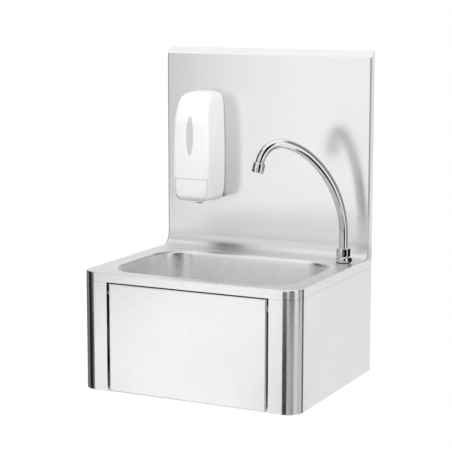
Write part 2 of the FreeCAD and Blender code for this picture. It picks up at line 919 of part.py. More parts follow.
def waste_strainer():
    """Drilled plate in the mouth of the waste."""
    low = flange_top - 1.4
    plate = rod("StrainerPlate", "z", S.waste_bore_radius + 3.6, low, flange_top - 0.2, drain)
    holes = [rod("StrainerCentre", "z", 2.5 + S.fit, low - 1.0, flange_top + 1.0, drain)]
    for reach, count in ((9.0, 6), (17.0, 12)):
        for i in range(count):
            turn = math.radians(360.0 / count * i)
            at = (as_size(reach * math.cos(turn)), bowl_y + reach * math.sin(turn))
            holes.append(rod(f"StrainerHole{count}x{i}", "z", 2.2, low - 1.0, flange_top + 1.0, at))
    return node("waste_strainer", cut("Strainer", plate, *holes))


def strainer_screw():
    top = flange_top - 0.2
    shaft = rod("StrainerShaft", "z", 2.5, crossbar_low, top + 1.0, drain)
    head = rod("StrainerHead", "z", 4.6, top, top + 1.6, drain)
    slot = box("StrainerSlot", (-5.0, 5.0), (bowl_y - 0.5, bowl_y + 0.5), (top + 0.9, top + 3.0))
    return node("strainer_screw", cut("StrainerScrew", fused("StrainerSolid", shaft, head), slot))


# ---------------------------------------------------------------- swan-neck spout

lock_turn = Rotation(Vector(0, 0, 1), -15) * TURNS["x"]
lock_z = base_low + S.base_height / 2


def lock_rod(name, radius, low, high):
    """A round bar that points outward from the spout's axis, a little forward of the right."""
    bar = doc.addObject("Part::Cylinder", name)
    bind(bar, "Radius", radius)
    bind(bar, "Height", as_size(high) - low)
    bar.Placement = Placement(Vector(), lock_turn)
    bind(bar, "Placement.Base.x", spout_x + as_size(low) * math.cos(math.radians(15)))
    bind(bar, "Placement.Base.y", spout_y - as_size(low) * math.sin(math.radians(15)))
    bind(bar, "Placement.Base.z", lock_z)
    return bar


lock_flat = S.base_radius - 0.8


def spout_base():
    """Chromed base ring with a threaded neck above and a threaded shank through the deck."""
    at = spout_axis
    outside = fused(
        "BaseOutside",
        rod("BaseRing", "z", S.base_radius, base_low, base_top, at),
        rod("BaseNeck", "z", S.swivel_bore_radius + 1.2, base_low, neck_top, at),
        rod("BaseShank", "z", S.shank_radius, shank_end, base_top, at),
    )
    return node(
        "spout_base",
        cut(
            "Base",
            outside,
            rod("BaseBore", "z", S.swivel_bore_radius, swivel_floor, neck_top + 1.0, at),
            rod("BaseWaterway", "z", S.pipe_radius - S.pipe_wall, shank_end - 1.0, neck_top, at),
            lock_rod("LockHole", 1.5, S.swivel_bore_radius - 1.0, S.base_radius + 1.0),
            lock_rod("LockFlat", 4.2, lock_flat, S.base_radius + 4.0),
        ),
    )


def spout_nut():
    """Six-sided nut that keeps the swivelling tube in its base."""
    at = spout_axis
    top = base_top + S.spout_nut_height
    nut = hex_nut("SpoutNutBlank", "z", S.spout_nut_across, S.tube_radius + 0.1, base_top, top, at)
    thread = rod("SpoutNutThread", "z", S.swivel_bore_radius + 1.2 + S.fit, base_top - 1.0, neck_top, at)
    return node("spout_nut", cut("SpoutNut", nut, thread))


def spout_seals():
    """Two seal rings at the foot of the swivelling tube."""
    rings = [
        ring(
            f"Seal{i}",
            "z",
            S.swivel_bore_radius - S.fit,
            S.tube_radius + S.fit,
            swivel_floor + 2.5 * i,
            swivel_floor + 2.5 * (i + 1),
            spout_axis,
        )
        for i in range(2)
    ]
    return node("spout_seals", group("SpoutSeals", *rings))


collar_high = neck_top - 5.0


def spout_sleeve():
    low, high = swivel_floor + 5.0, collar_high - 3.0 - S.ease
    sleeve = ring("SpoutSleeve", "z", S.swivel_bore_radius - S.fit, S.tube_radius + S.fit, low, high, spout_axis)
    return node("spout_sleeve", sleeve)


def spout_retaining_ring():
    low = collar_high + S.ease
    keeper = ring(
        "RetainingRing", "z", S.swivel_bore_radius - S.fit, S.tube_radius + S.fit, low, neck_top, spout_axis
    )
    return node("spout_retaining_ring", keeper)


def spout_gasket():
    seal = ring("SpoutGasket", "z", S.base_radius, S.shank_radius + S.ease, S.deck_height, base_low, spout_axis)
    return node("spout_gasket", seal)


def spout_lock_screw():
    screw = lock_rod("LockScrew", 1.45, S.swivel_bore_radius + 0.4, S.base_radius + 2.0)
    return node("spout_lock_screw", screw)


def lock_screw_cap():
    """Black plastic cap over the head of the locking screw."""
    cap = lock_rod("CapSolid", 3.8, lock_flat, S.base_radius + 3.4)
    return node("lock_screw_cap", cut("Cap", cap, lock_rod("CapBore", 1.5, lock_flat - 1.0, S.base_radius + 2.2)))


washer_low = deck_under - 1.6


def shank_washer():
    washer = ring(
        "ShankWasher", "z", S.shank_radius + 6.0, S.shank_radius + S.fit, washer_low, deck_under, spout_axis
    )
    return node("shank_washer", washer)


def shank_nut():
    low = washer_low - 7.0
    bore = S.shank_radius + S.fit
    return node("shank_nut", hex_nut("ShankNut", "z", S.shank_nut_across, bore, low, washer_low, spout_axis))


arcs = (
    (S.long_arc_radius, S.long_arc_angle),
    (S.middle_arc_radius, S.middle_arc_angle),
    (S.top_arc_radius, S.top_arc_angle),
)


def neck_end():
    """Reach, height and direction from the vertical at the end of the swan neck's last arc."""
    reach, height, lean = as_size(0.0), S.deck_height + S.tube_rise, as_size(0.0)
    for radius, turn in arcs:
        after = lean + turn
        reach = reach + radius * (cosine(lean) - cosine(after))
        height = height + radius * (sine(after) - sine(lean))
        lean = after
    return reach, height, lean


def neck_path():
    """Straight rise, three tangent arcs and a short straight tip, in the plane of X and Z."""
    reach, height, lean = 0.0, (S.deck_height + S.tube_rise).value, 0.0
    low = swivel_floor.value + 0.5
    edges = [Part.LineSegment(Vector(0, 0, low), Vector(0, 0, height)).toShape()]
    for radius, turn in arcs:
        r, after = radius.value, lean + math.radians(turn.value)
        centre = Vector(reach + r * math.cos(lean), 0, height - r * math.sin(lean))
        stops = [
            centre + Vector(-r * math.cos(a), 0, r * math.sin(a)) for a in (lean, (lean + after) / 2, after)
        ]
        edges.append(Part.Arc(*stops).toShape())
        reach, height, lean = stops[2].x, stops[2].z, after
    tip = Vector(reach, 0, height) + Vector(math.sin(lean), 0, math.cos(lean)) * S.tube_tip.value
    edges.append(Part.LineSegment(Vector(reach, 0, height), tip).toShape())
    return Part.Wire(edges)


def swept(path, radius, start, heading):
    """A round bar along a smooth path."""
    profile = Part.Wire([Part.Circle(start, heading, radius).toShape()])
    return path.makePipeShell([profile], True, False)


def spout_tube():
    """Swan-neck tube with a swaged collar at its foot."""
    path = neck_path()
    start = Vector(0, 0, swivel_floor.value + 0.5)
    up = Vector(0, 0, 1)
    outer = swept(path, S.tube_radius.value, start, up)
    inner = swept(path, (S.tube_radius - S.tube_wall).value, start, up)
    collar = Part.makeCylinder(S.swivel_bore_radius.value - 0.1, 3.0, Vector(0, 0, collar_high.value - 3.0))
    tube = doc.addObject("Part::Feature", "Tube")
    tube.Shape = outer.fuse(collar).cut(inner)
    turn = Rotation(Vector(0, 0, 1), S.spout_turn.value)
    tube.Placement = Placement(Vector(spout_x.value, spout_y.value, 0), turn)
    length = path.Length
    share = outer.Volume / (math.pi * S.tube_radius.value**2 * length)
    print("swan neck", round(length, 1), "mm, volume ratio", round(share, 4))
    return node("spout_tube", tube)


def at_neck_end(thing):
    """Put a piece made along Z at the end of the swan neck, pointing the way the water leaves."""
    reach, height, lean = neck_end()
    turn = Rotation(Vector(0, 0, 1), S.spout_turn.value)
    tilt = Rotation(Vector(0, 1, 0), lean.value)
    thing.Placement = Placement(Vector(), turn.multiply(tilt))
    bind(thing, "Placement.Base.x", spout_x + reach * cosine(S.spout_turn))
    bind(thing, "Placement.Base.y", spout_y + reach * sine(S.spout_turn))
    bind(thing, "Placement.Base.z", height)
    return thing


nozzle_start = S.tube_tip - 6.0
nozzle_end = nozzle_start + S.nozzle_length
zero_axis = (as_size(0.0), as_size(0.0))


def spout_nozzle():
    """Chromed housing screwed on the end of the tube."""
    shell = rod("NozzleShell", "z", S.nozzle_radius, nozzle_start, nozzle_end, zero_axis)
    upper = rod("NozzleSocket", "z", S.tube_radius + S.fit, nozzle_start - 1.0, nozzle_end, zero_axis)
    lower = rod("NozzleBore", "z", S.nozzle_radius - 1.4, S.tube_tip + 0.5, nozzle_end + 1.0, zero_axis)
    return node("spout_nozzle", at_neck_end(cut("Nozzle", shell, upper, lower)))


def aerator_insert():
    """Perforated plastic insert in the nozzle."""
    low, high = S.tube_tip + 0.5, nozzle_end - 1.0
    solid = rod("InsertSolid", "z", S.nozzle_radius - 1.4 - S.fit, low, high, zero_axis)
    holes = [rod("InsertHole", "z", 1.2, low - 1.0, high + 1.0, zero_axis)]
    for i in range(6):
        turn = math.radians(60 * i)
        at = (as_size(4.6 * math.cos(turn)), as_size(4.6 * math.sin(turn)))
        holes.append(rod(f"InsertHole{i}", "z", 1.2, low - 1.0, high + 1.0, at))
    return node("aerator_insert", at_neck_end(cut("Insert", solid, *holes)))


# ---------------------------------------------------------------- timed valve and pipework

neck_front = beam_front - 6.5
chamber_front = beam_front + 6.0
piston_back = chamber_front + 4.0
cartridge_front = valve_end - 30.0
outlet_y = valve_end - 18.0
outlet_end = S.valve_x + 28.0
tee_y = valve_end + 32.0
boss_radius = as_size(9.0)


def valve_beam():
    """Channel across the casing that carries the valve and the panel's stops."""
    reach = half - S.skin
    low, high = S.valve_height - S.beam_height / 2, S.valve_height + S.beam_height / 2
    x = (-reach, reach)
    channel = fused(
        "BeamChannel",
        box("BeamWeb", x, (beam_front, beam_back), (low, high)),
        box("BeamTop", x, (beam_front, beam_back + S.beam_flange), (high - S.skin, high)),
        box("BeamBottom", x, (beam_front, beam_back + S.beam_flange), (low, low + S.skin)),
    )
    hole = rod("BeamHole", "y", S.valve_neck_radius + S.fit, beam_front - 1.0, beam_back + 1.0, valve_axis)
    return node("valve_beam", cut("Beam", channel, hole))


def travel_stops():
    """Rubber stops on the beam that end the knee panel's travel, outside the valve's lock nut."""
    across = S.valve_x + S.lock_nut_across / math.sqrt(3) + S.stop_gap + S.stop_radius
    arm = pivot_z - S.valve_height + S.stop_radius
    travel = arm * S.knee_travel * (math.pi / 180)
    stops = [
        rod(
            f"Stop{word}",
            "y",
            S.stop_radius,
            panel_back + travel + S.ease,
            beam_front,
            (across * side, S.valve_height),
        )
        for word, side in SIDES
    ]
    return node("travel_stops", group("TravelStops", *stops))


def valve_body():
    """Brass body with a threaded neck, the button's bore, the cartridge chamber and the side outlet."""
    outside = fused(
        "ValveOutside",
        rod("ValveNeck", "y", S.valve_neck_radius, neck_front, beam_back + 1.0, valve_axis),
        rod("ValveBarrel", "y", S.valve_radius, beam_back, valve_end, valve_axis),
        rod("ValveOutlet", "x", boss_radius, S.valve_x, outlet_end, (outlet_y, S.valve_height)),
    )
    body = cut(
        "Valve",
        outside,
        rod("StemBore", "y", S.button_stem_radius + S.fit, neck_front - 1.0, chamber_front + 1.0, valve_axis),
        rod("Chamber", "y", S.button_radius, chamber_front, valve_end + 1.0, valve_axis),
        rod("OutletBore", "x", 5.0, S.valve_x, outlet_end + 1.0, (outlet_y, S.valve_height)),
    )
    return node("valve_body", body)


def valve_lock_nut():
    low, high = beam_front - 5.0, beam_front
    bore = S.valve_neck_radius + S.fit
    return node("valve_lock_nut", hex_nut("LockNut", "y", S.lock_nut_across, bore, low, high, valve_axis))


def valve_button():
    """Domed button with its stem and piston."""
    apex = panel_back + S.pad_thickness + S.ease + 0.1
    head_back = neck_front - S.button_travel - 0.8
    head = rod("ButtonHead", "y", S.button_radius, apex, head_back, valve_axis)
    ball = doc.addObject("Part::Sphere", "ButtonBall")
    bind(ball, "Radius", S.button_dome)
    place(ball, (S.valve_x, apex + S.button_dome, S.valve_height))
    stem = rod("ButtonStem", "y", S.button_stem_radius, head_back - 1.0, piston_back, valve_axis)
    piston = rod("ButtonPiston", "y", S.button_radius - 0.4, chamber_front + S.ease, piston_back, valve_axis)
    return node("valve_button", fused("Button", common("ButtonCap", head, ball), stem, piston))


def valve_spring():
    """Return spring, drawn as the sleeve that its coils fill."""
    low, high = piston_back + S.ease, cartridge_front - S.ease
    return node("valve_spring", ring("ValveSpring", "y", S.button_radius - 2.0, 6.0, low, high, valve_axis))


def valve_cartridge():
    """Timing cartridge in the rear of the chamber."""
    bar = rod("Cartridge", "y", S.button_radius - S.fit * 4, cartridge_front, valve_end, valve_axis)
    return node("valve_cartridge", bar)


def valve_end_cap():
    cap = hex_nut("EndCap", "y", 30.0, 5.0, valve_end, valve_end + 10.0, valve_axis)
    return node("valve_end_cap", cap)


def tee_legs():
    return [(word, S.valve_x + S.inlet_spacing / 2 * side) for word, side in SIDES]


def mixing_tee():
    """Cross pipe that mixes the hot and the cold leg and feeds the valve."""
    run = S.inlet_spacing / 2 + S.tee_radius
    at = (tee_y, S.valve_height)
    outside = [
        rod("TeeRun", "x", S.tee_radius, S.valve_x - run, S.valve_x + run, at),
        rod("TeeStub", "y", 8.0, valve_end + 10.0, tee_y, valve_axis),
    ]
    inside = [
        rod("TeeRunBore", "x", 7.0, S.valve_x - run + 4.0, S.valve_x + run - 4.0, at),
        rod("TeeStubBore", "y", 5.0, valve_end + 9.0, tee_y, valve_axis),
    ]
    for word, x in tee_legs():
        at = (x, tee_y)
        outside.append(rod(f"TeeThread{word}", "z", S.inlet_radius, S.inlet_end, S.inlet_end + S.inlet_thread, at))
        outside.append(rod(f"TeeLeg{word}", "z", S.inlet_radius - 1.0, S.inlet_end, S.valve_height, at))
        inside.append(rod(f"TeeLegBore{word}", "z", 7.0, S.inlet_end - 1.0, S.valve_height, at))
    return node("mixing_tee", cut("Tee", fused("TeeWhole", *outside), *inside))


def check_valves():
    """Non-return cartridges in the two inlets."""
    valves = []
    for word, x in tee_legs():
        at = (x, tee_y)
        low = S.inlet_end - 1.5
        stem = rod(f"CheckStem{word}", "z", 6.8, low, S.inlet_end + 18.0, at)
        rim = rod(f"CheckRim{word}", "z", S.inlet_radius - 1.0, low, S.inlet_end, at)
        bore = rod(f"CheckBore{word}", "z", 3.5, low - 1.0, S.inlet_end + 19.0, at)
        valves.append(cut(f"Check{word}", fused(f"CheckWhole{word}", stem, rim), bore))
    return node("check_valves", group("CheckValves", *valves))


def inlet_filters():
    """Filter discs under the non-return cartridges."""
    low, high = S.inlet_end - 2.7, S.inlet_end - 1.5
    discs = [rod(f"Filter{word}", "z", S.inlet_radius - 1.0, low, high, (x, tee_y)) for word, x in tee_legs()]
    return node("inlet_filters", group("InletFilters", *discs))


def supply_pipe():
    """Bent pipe from the valve's outlet to the foot of the spout's shank."""
    z = S.valve_height.value
    x0, x1 = outlet_end.value, spout_x.value
    y0, y1 = outlet_y.value, spout_y.value
    r = S.pipe_bend.value
    bend = r * (1 - math.sqrt(0.5))
    start = Vector(x0, y0, z)
    lines = [
        (start, Vector(x1 - r, y0, z)),
        (Vector(x1, y0 + r, z), Vector(x1, y1 - r, z)),
        (Vector(x1, y1, z + r), Vector(x1, y1, shank_end.value)),
    ]
    bends = [Vector(x1 - bend, y0 + bend, z), Vector(x1, y1 - bend, z + bend)]
    edges = [Part.LineSegment(*lines[0]).toShape()]
    for middle, before, after in zip(bends, lines, lines[1:]):
        edges.append(Part.Arc(before[1], middle, after[0]).toShape())
        edges.append(Part.LineSegment(*after).toShape())
    path = Part.Wire(edges)
    heading = Vector(1, 0, 0)
    outer = swept(path, S.pipe_radius.value, start, heading)
    inner = swept(path, (S.pipe_radius - S.pipe_wall).value, start, heading)
    pipe = doc.addObject("Part::Feature", "Pipe")
    pipe.Shape = outer.cut(inner)
    pipe.Placement = Placement()
    share = outer.Volume / (math.pi * S.pipe_radius.value**2 * path.Length)
    print("supply pipe", round(path.Length, 1), "mm, volume ratio", round(share, 4))
    return node("supply_pipe", pipe)


def pipe_nuts():
    """Union nuts at the two ends of the supply pipe."""
    nuts = []
    joints = (
        ("Valve", "x", outlet_end, -1, boss_radius, (outlet_y, S.valve_height)),
        ("Spout", "z", shank_end, 1, S.shank_radius, spout_axis),
    )
    for word, along, seat, way, thread, at in joints:
        ends = sorted((seat + 8.0 * way, seat - 12.0 * way), key=lambda amount: amount.value)
        grip = sorted((seat, seat + 9.0 * way), key=lambda amount: amount.value)
        nut = hex_nut(f"Nut{word}", along, S.pipe_nut_across, S.pipe_radius + S.fit, *ends, at)
        nuts.append(cut(f"Union{word}", nut, rod(f"Grip{word}", along, thread + S.fit, *grip, at)))
    return node("pipe_nuts", group("PipeNuts", *nuts))


# ---------------------------------------------------------------- soap dispenser


def arc_edge(*points):
    return Part.Arc(*points).toShape()


def line_edge(first, last):
    return Part.LineSegment(first, last).toShape()


def soap_form(inset, narrow=0.0, raised=0.0):
    """Closed form of the dispenser's outside, or of an inner skin: a side, a front and a plan outline in one."""
    spare = 60.0
    x0, half_w = soap_x.value, S.soap_half_width.value - inset - narrow
    low, high = soap_bottom.value + inset + raised, soap_top.value - inset
    hinge_y, hinge_z = soap_hinge_y.value, soap_hinge_z.value
    face = soap_front.value + inset
    back = soap_back.value if inset == 0 else soap_back.value + 2.0
    heel = hinge_z - low
    side_x = x0 - spare

    def yz(y, z):
        return Vector(side_x, y, z)

    diagonal = heel * math.sqrt(0.5)
    toe_y = soap_front.value + 9.0
    shoulder = high - 37.0 + inset
    brow = face + 35.0
    side = [
        line_edge(yz(back, high - 2.0), yz(back, hinge_z)),
        arc_edge(yz(hinge_y + heel, hinge_z), yz(hinge_y + diagonal, hinge_z - diagonal), yz(hinge_y, low)),
        line_edge(yz(hinge_y, low), yz(toe_y, low)),
        arc_edge(yz(toe_y, low), yz(face + 2.7, low + 2.5), yz(face + 0.6, low + 9.0)),
        arc_edge(yz(face + 0.6, low + 9.0), yz(face, low + 60.0), yz(face + 2.4, shoulder)),
        arc_edge(yz(face + 2.4, shoulder), yz(face + 12.5, high - 11.0), yz(brow, high)),
        line_edge(yz(brow, high), yz(back, high - 2.0)),
    ]
    if back > hinge_y + heel + 0.001:
        side.insert(1, line_edge(yz(back, hinge_z), yz(hinge_y + heel, hinge_z)))
    side_solid = Part.Face(Part.Wire(side)).extrude(Vector(2 * spare, 0, 0))

    def xz(x, z):
        return Vector(x0 + x, 10.0, z)

    neck = half_w - 5.0
    foot = half_w - 1.6
    shoulder_z = high - 15.0
    halves = []
    for way in (1, -1):
        halves.append(
            [
                xz(way * (foot - 8.0), low),
                xz(way * (foot - 2.0), low + 2.6),
                xz(way * foot, low + 9.0),
                xz(way * half_w, low + 98.0),
                xz(way * neck, shoulder_z),
                xz(way * (neck - 2.2), shoulder_z + 4.0),
            ]
        )
    right, left = halves
    front_line = [
        arc_edge(right[0], right[1], right[2]),
        arc_edge(right[2], right[3], right[4]),
        line_edge(right[4], right[5]),
        arc_edge(right[5], xz(0, high), left[5]),
        line_edge(left[5], left[4]),
        arc_edge(left[4], left[3], left[2]),
        arc_edge(left[2], left[1], left[0]),
        line_edge(left[0], right[0]),
    ]
    front_solid = Part.Face(Part.Wire(front_line)).extrude(Vector(0, face - spare, 0))

    def xy(x, y):
        return Vector(x0 + x, y, low - 20.0)

    ridge = S.soap_ridge.value + 2.0 - inset
    turn = ridge * (1 - math.sqrt(0.5))
    wide = half_w + 0.01
    plan = [
        line_edge(xy(-wide, back + 1.0), xy(-wide, face + ridge + 1.5)),
        arc_edge(xy(-wide, face + ridge + 1.5), xy(-wide + turn, face + turn + 1.5), xy(-wide + ridge, face + 1.5)),
        arc_edge(xy(-wide + ridge, face + 1.5), xy(0, face), xy(wide - ridge, face + 1.5)),
        arc_edge(xy(wide - ridge, face + 1.5), xy(wide - turn, face + turn + 1.5), xy(wide, face + ridge + 1.5)),
        line_edge(xy(wide, face + ridge + 1.5), xy(wide, back + 1.0)),
        line_edge(xy(wide, back + 1.0), xy(-wide, back + 1.0)),
    ]
    plan_solid = Part.Face(Part.Wire(plan)).extrude(Vector(0, 0, 280.0))
    return side_solid.common(front_solid).common(plan_solid)


def block(x_low, x_high, y_low, y_high, z_low, z_high):
    """A plain block for cutting, about the dispenser's middle in X."""
    corner = Vector(soap_x.value + x_low, y_low, z_low)
    return Part.makeBox(x_high - x_low, y_high - y_low, z_high - z_low, corner)


seam_gap = 1.2
bar_wing = 10.0
tuck = 1.3
bar_pivot_y = soap_front + S.bar_setback
bar_pivot_z = soap_bottom + S.push_bar_height - 5.0
bar_pin_radius = 1.8
ear_inner = 23.5
ear_outer = 26.0


def window_prism(grow):
    """Elliptical bar through the front of the cover."""
    centre = Vector(soap_x.value, soap_front.value + 15.0, (soap_bottom + S.window_rise).value)
    tall = S.window_height.value / 2 + grow
    wide = S.window_width.value / 2 + grow
    ellipse = Part.Ellipse(centre + Vector(0, 0, tall), centre + Vector(wide, 0, 0), centre)
    return Part.Face(Part.Wire([ellipse.toShape()])).extrude(Vector(0, -40.0, 0))


def dispenser_cover():
    """Front cover: a thin shell open at the wall, with the push bar's opening, ears and the window's slot."""
    wall = S.soap_wall.value
    face = soap_front.value
    seam_y = face + S.push_bar_depth.value
    seam_z = (soap_bottom + S.push_bar_height).value
    low = soap_bottom.value
    hinge = Vector(soap_x.value, soap_hinge_y.value, soap_hinge_z.value)
    outer = soap_form(0.0)
    shell = outer.cut(soap_form(wall))
    shell = shell.cut(block(-60, 60, face - 5.0, seam_y, low - 5.0, seam_z))
    thin_zone = block(-60, 60, seam_y - 1.0, seam_y + 18.0, low - 5.0, seam_z + 3.0)
    shell = shell.cut(soap_form(wall - tuck + 0.2).common(thin_zone))
    slot_y = -S.nozzle_from_wall.value
    shell = shell.cut(block(-14, 14, slot_y - 12.0, soap_back.value + 5.0, low - 5.0, low + wall + 3.0))
    knuckle = cover_pin_reach.value - 2.4
    shell = shell.cut(block(-knuckle, knuckle, hinge.y - 9.0, soap_back.value + 5.0, low - 5.0, hinge.z))
    pivot_y_value, pivot_z_value = bar_pivot_y.value, bar_pivot_z.value
    for x_low, x_high in ((ear_inner, ear_outer), (-ear_outer, -ear_inner)):
        hanger = block(x_low, x_high, face + 1.6, pivot_y_value + 6.0, seam_z + 0.6, seam_z + 8.0)
        ear = block(x_low, x_high, pivot_y_value - 3.0, pivot_y_value + 6.0, pivot_z_value - 5.0, seam_z + 1.0)
        shell = shell.fuse(hanger.common(outer)).fuse(ear)
    bar_start = Vector(soap_x.value - ear_outer - 1.0, pivot_y_value, pivot_z_value)
    bar_length = 2 * (ear_outer + 1.0)
    bar_pin = Part.makeCylinder(bar_pin_radius + S.fit.value, bar_length, bar_start, Vector(1, 0, 0))
    ear_space = block(-ear_outer - 0.2, ear_outer + 0.2, pivot_y_value - 8.0, pivot_y_value + 8.0, low, seam_z)
    shell = shell.cut(bar_pin.common(ear_space))
    pin_reach = cover_pin_reach.value + 0.1
    pin_start = hinge - Vector(pin_reach, 0, 0)
    cover_pin = Part.makeCylinder(cover_pin_radius + S.fit.value, 2 * pin_reach, pin_start, Vector(1, 0, 0))
    shell = shell.cut(cover_pin).cut(window_prism(S.fit.value))
    cover = doc.addObject("Part::Feature", "Cover")
    cover.Shape = shell.removeSplitter()
    cover.Placement = Placement()
    return node("dispenser_cover", cover)


cover_pin_reach = S.soap_half_width - 2.9
cover_pin_radius = 2.0


def level_window():
    """Grey window that follows the curve of the cover's front."""
    face = soap_front.value
    window = doc.addObject("Part::Feature", "Window")
    skin = soap_form(0.0).cut(soap_form(S.soap_wall.value))
    window.Shape = skin.common(window_prism(0.0)).common(block(-20, 20, face - 5.0, face + 12.0, 0.0, 900.0))
    window.Placement = Placement()
    return node("level_window", window)


def push_bar():
    """Push bar with wings that slide inside the cover's flanks."""
    face = soap_front.value
    seam_z = (soap_bottom + S.push_bar_height).value - seam_gap
    low = soap_bottom.value
    zone = block(-60, 60, face - 5.0, face + S.push_bar_depth.value + bar_wing, low - 5.0, seam_z)
    bar = soap_form(0.0, tuck, tuck).cut(soap_form(S.soap_wall.value, tuck, tuck)).common(zone)
    for way in (1, -1):
        reach = S.soap_half_width.value - tuck - 1.4
        low_x, high_x = sorted((way * (ear_inner + 0.4), way * reach))
        start = Vector(soap_x.value + low_x, bar_pivot_y.value, bar_pivot_z.value)
        bar = bar.fuse(Part.makeCylinder(bar_pin_radius, high_x - low_x, start, Vector(1, 0, 0)))
    pushed = doc.addObject("Part::Feature", "PushBar")
    pushed.Shape = bar.removeSplitter()
    pushed.Placement = Placement()
    return node("push_bar", pushed)


def dispenser_back_plate():
    """Plate screwed to the backsplash, with the cover's hinge pins and the shelf for the tank."""
    x0 = soap_x
    wide = S.soap_half_width - 8.5
    high = soap_top - 19.0
    pieces = [
        box("PlateSheet", (x0 - wide, x0 + wide), (plate_front, splash_front), (soap_hinge_z, high)),
        box(
            "PlateShelf",
            (x0 - wide, x0 + wide),
            (soap_front + 25.0, plate_front + 1.0),
            (shelf_top - 3.0, shelf_top),
        ),
    ]
    for word, side in SIDES:
        lug = sorted((x0 + (wide - 1.0) * side, x0 + (cover_pin_reach - 3.0) * side), key=lambda a: a.value)
        pin = sorted((x0 + wide * side, x0 + cover_pin_reach * side), key=lambda a: a.value)
        pieces.append(
            box(f"Lug{word}", lug, (soap_hinge_y - 3.0, plate_front + 2.0), (soap_hinge_z, soap_hinge_z + 3.0))
        )
        pieces.append(rod(f"LugEye{word}", "x", 3.0, *lug, (soap_hinge_y, soap_hinge_z)))
        pieces.append(rod(f"LugPin{word}", "x", cover_pin_radius, *pin, (soap_hinge_y, soap_hinge_z)))
    holes = [
        rod(f"PlateHole{i}", "y", plate_screw_radius + S.fit, plate_front - 1.0, splash_front + 1.0, (x0, z))
        for i, z in enumerate(plate_screws)
    ]
    holes.append(
        rod("ShelfHole", "z", pump_stem + 0.3, shelf_top - 4.0, shelf_top + 1.0, (x0, pump_inlet_y))
    )
    return node("dispenser_back_plate", cut("BackPlate", fused("PlateWhole", *pieces), *holes))


pump_stem = as_size(5.9)
pump_inlet_y = -S.nozzle_from_wall
pump_front = soap_front + S.pump_setback


def dispenser_screws():
    """Screws that hold the dispenser's plate to the backsplash."""
    screws = []
    for i, z in enumerate(plate_screws):
        at = (soap_x, z)
        shaft = rod(f"SoapShaft{i}", "y", plate_screw_radius, plate_front, sheet_back + 5.0, at)
        head = rod(f"SoapHead{i}", "y", 4.0, plate_front - 2.0, plate_front, at)
        screws.append(fused(f"SoapScrew{i}", shaft, head))
    return node("dispenser_screws", group("DispenserScrews", *screws))


def dispenser_nuts():
    nuts = [
        hex_nut(f"SoapNut{i}", "y", 7.0, plate_screw_radius + S.fit, sheet_back, sheet_back + 3.2, (soap_x, z))
        for i, z in enumerate(plate_screws)
    ]
    return node("dispenser_nuts", group("DispenserNuts", *nuts))


tank_half = S.soap_half_width - 10.5
tank_front = soap_front + 25.0
tank_back = plate_front - 2.8
tank_top = soap_top - S.tank_headroom


def soap_tank():
    """Refillable tank that stands on the shelf."""
    x0 = soap_x
    outside = box("TankOutside", (x0 - tank_half, x0 + tank_half), (tank_front, tank_back), (shelf_top, tank_top))
    inside = box(
        "TankInside",
        (x0 - tank_half + 1.8, x0 + tank_half - 1.8),
        (tank_front + 1.8, tank_back - 1.8),
        (shelf_top + 1.8, tank_top + 1.0),
    )
    hole = rod("TankHole", "z", pump_stem + 0.1, shelf_top - 1.0, shelf_top + 3.0, (x0, pump_inlet_y))
    return node("soap_tank", cut("Tank", outside, inside, hole))


def tank_lid():
    """Push-on lid of the tank."""
    x0 = soap_x
    lid = box("LidTop", (x0 - tank_half, x0 + tank_half), (tank_front, tank_back), (tank_top, tank_top + 2.5))
    plug = box(
        "LidPlug",
        (x0 - tank_half + 2.1, x0 + tank_half - 2.1),
        (tank_front + 2.1, tank_back - 2.1),
        (tank_top - 4.0, tank_top + 1.0),
    )
    return node("tank_lid", fused("Lid", lid, plug))


def pump_body():
    """Pump barrel on the plate, with its inlet stem up through the shelf and its outlet spigot down."""
    x0, z = soap_x, pump_height
    outside = fused(
        "PumpOutside",
        rod("PumpBarrel", "y", S.pump_radius, pump_front, plate_front, (x0, z)),
        rod("PumpInlet", "z", pump_stem, z, shelf_top + 1.7, (x0, pump_inlet_y)),
        rod("PumpCollar", "z", pump_stem + 2.5, z, shelf_top - 3.0, (x0, pump_inlet_y)),
        rod("PumpSpigot", "z", 3.5, soap_bottom - 3.0, z, (x0, pump_inlet_y)),
    )
    inside = [
        rod("PumpBore", "y", 5.6, pump_front - 1.0, pump_inlet_y + 8.0, (x0, z)),
        rod("PumpInletBore", "z", 2.0, z, shelf_top + 2.0, (x0, pump_inlet_y)),
        rod("PumpSpigotBore", "z", 1.5, soap_bottom - 4.0, z, (x0, pump_inlet_y)),
    ]
    return node("pump_body", cut("Pump", outside, *inside))


def pump_nozzle():
    """Soft outlet pushed over the pump's spigot."""
    low, high = soap_bottom - 6.5, soap_bottom + 2.0
    nozzle = ring("PumpNozzle", "z", 6.3, 3.5 + S.fit, low, high, (soap_x, pump_inlet_y))
    return node("pump_nozzle", nozzle)


plunger_face = soap_front + S.soap_wall + 2.6


def pump_plunger():
    at = (soap_x, pump_height)
    head = rod("PlungerHead", "y", 6.5, plunger_face, plunger_face + 2.5, at)
    stem = rod("PlungerStem", "y", 5.6 - S.fit, plunger_face, pump_front + 14.0, at)
    return node("pump_plunger", fused("Plunger", head, stem))


def pump_spring():
    """Return spring of the plunger, drawn as the sleeve that its coils fill."""
    low, high = plunger_face + 2.5 + S.ease, pump_front - S.ease
    return node("pump_spring", ring("PumpSpring", "y", 6.9, 6.0, low, high, (soap_x, pump_height)))


# ---------------------------------------------------------------- build

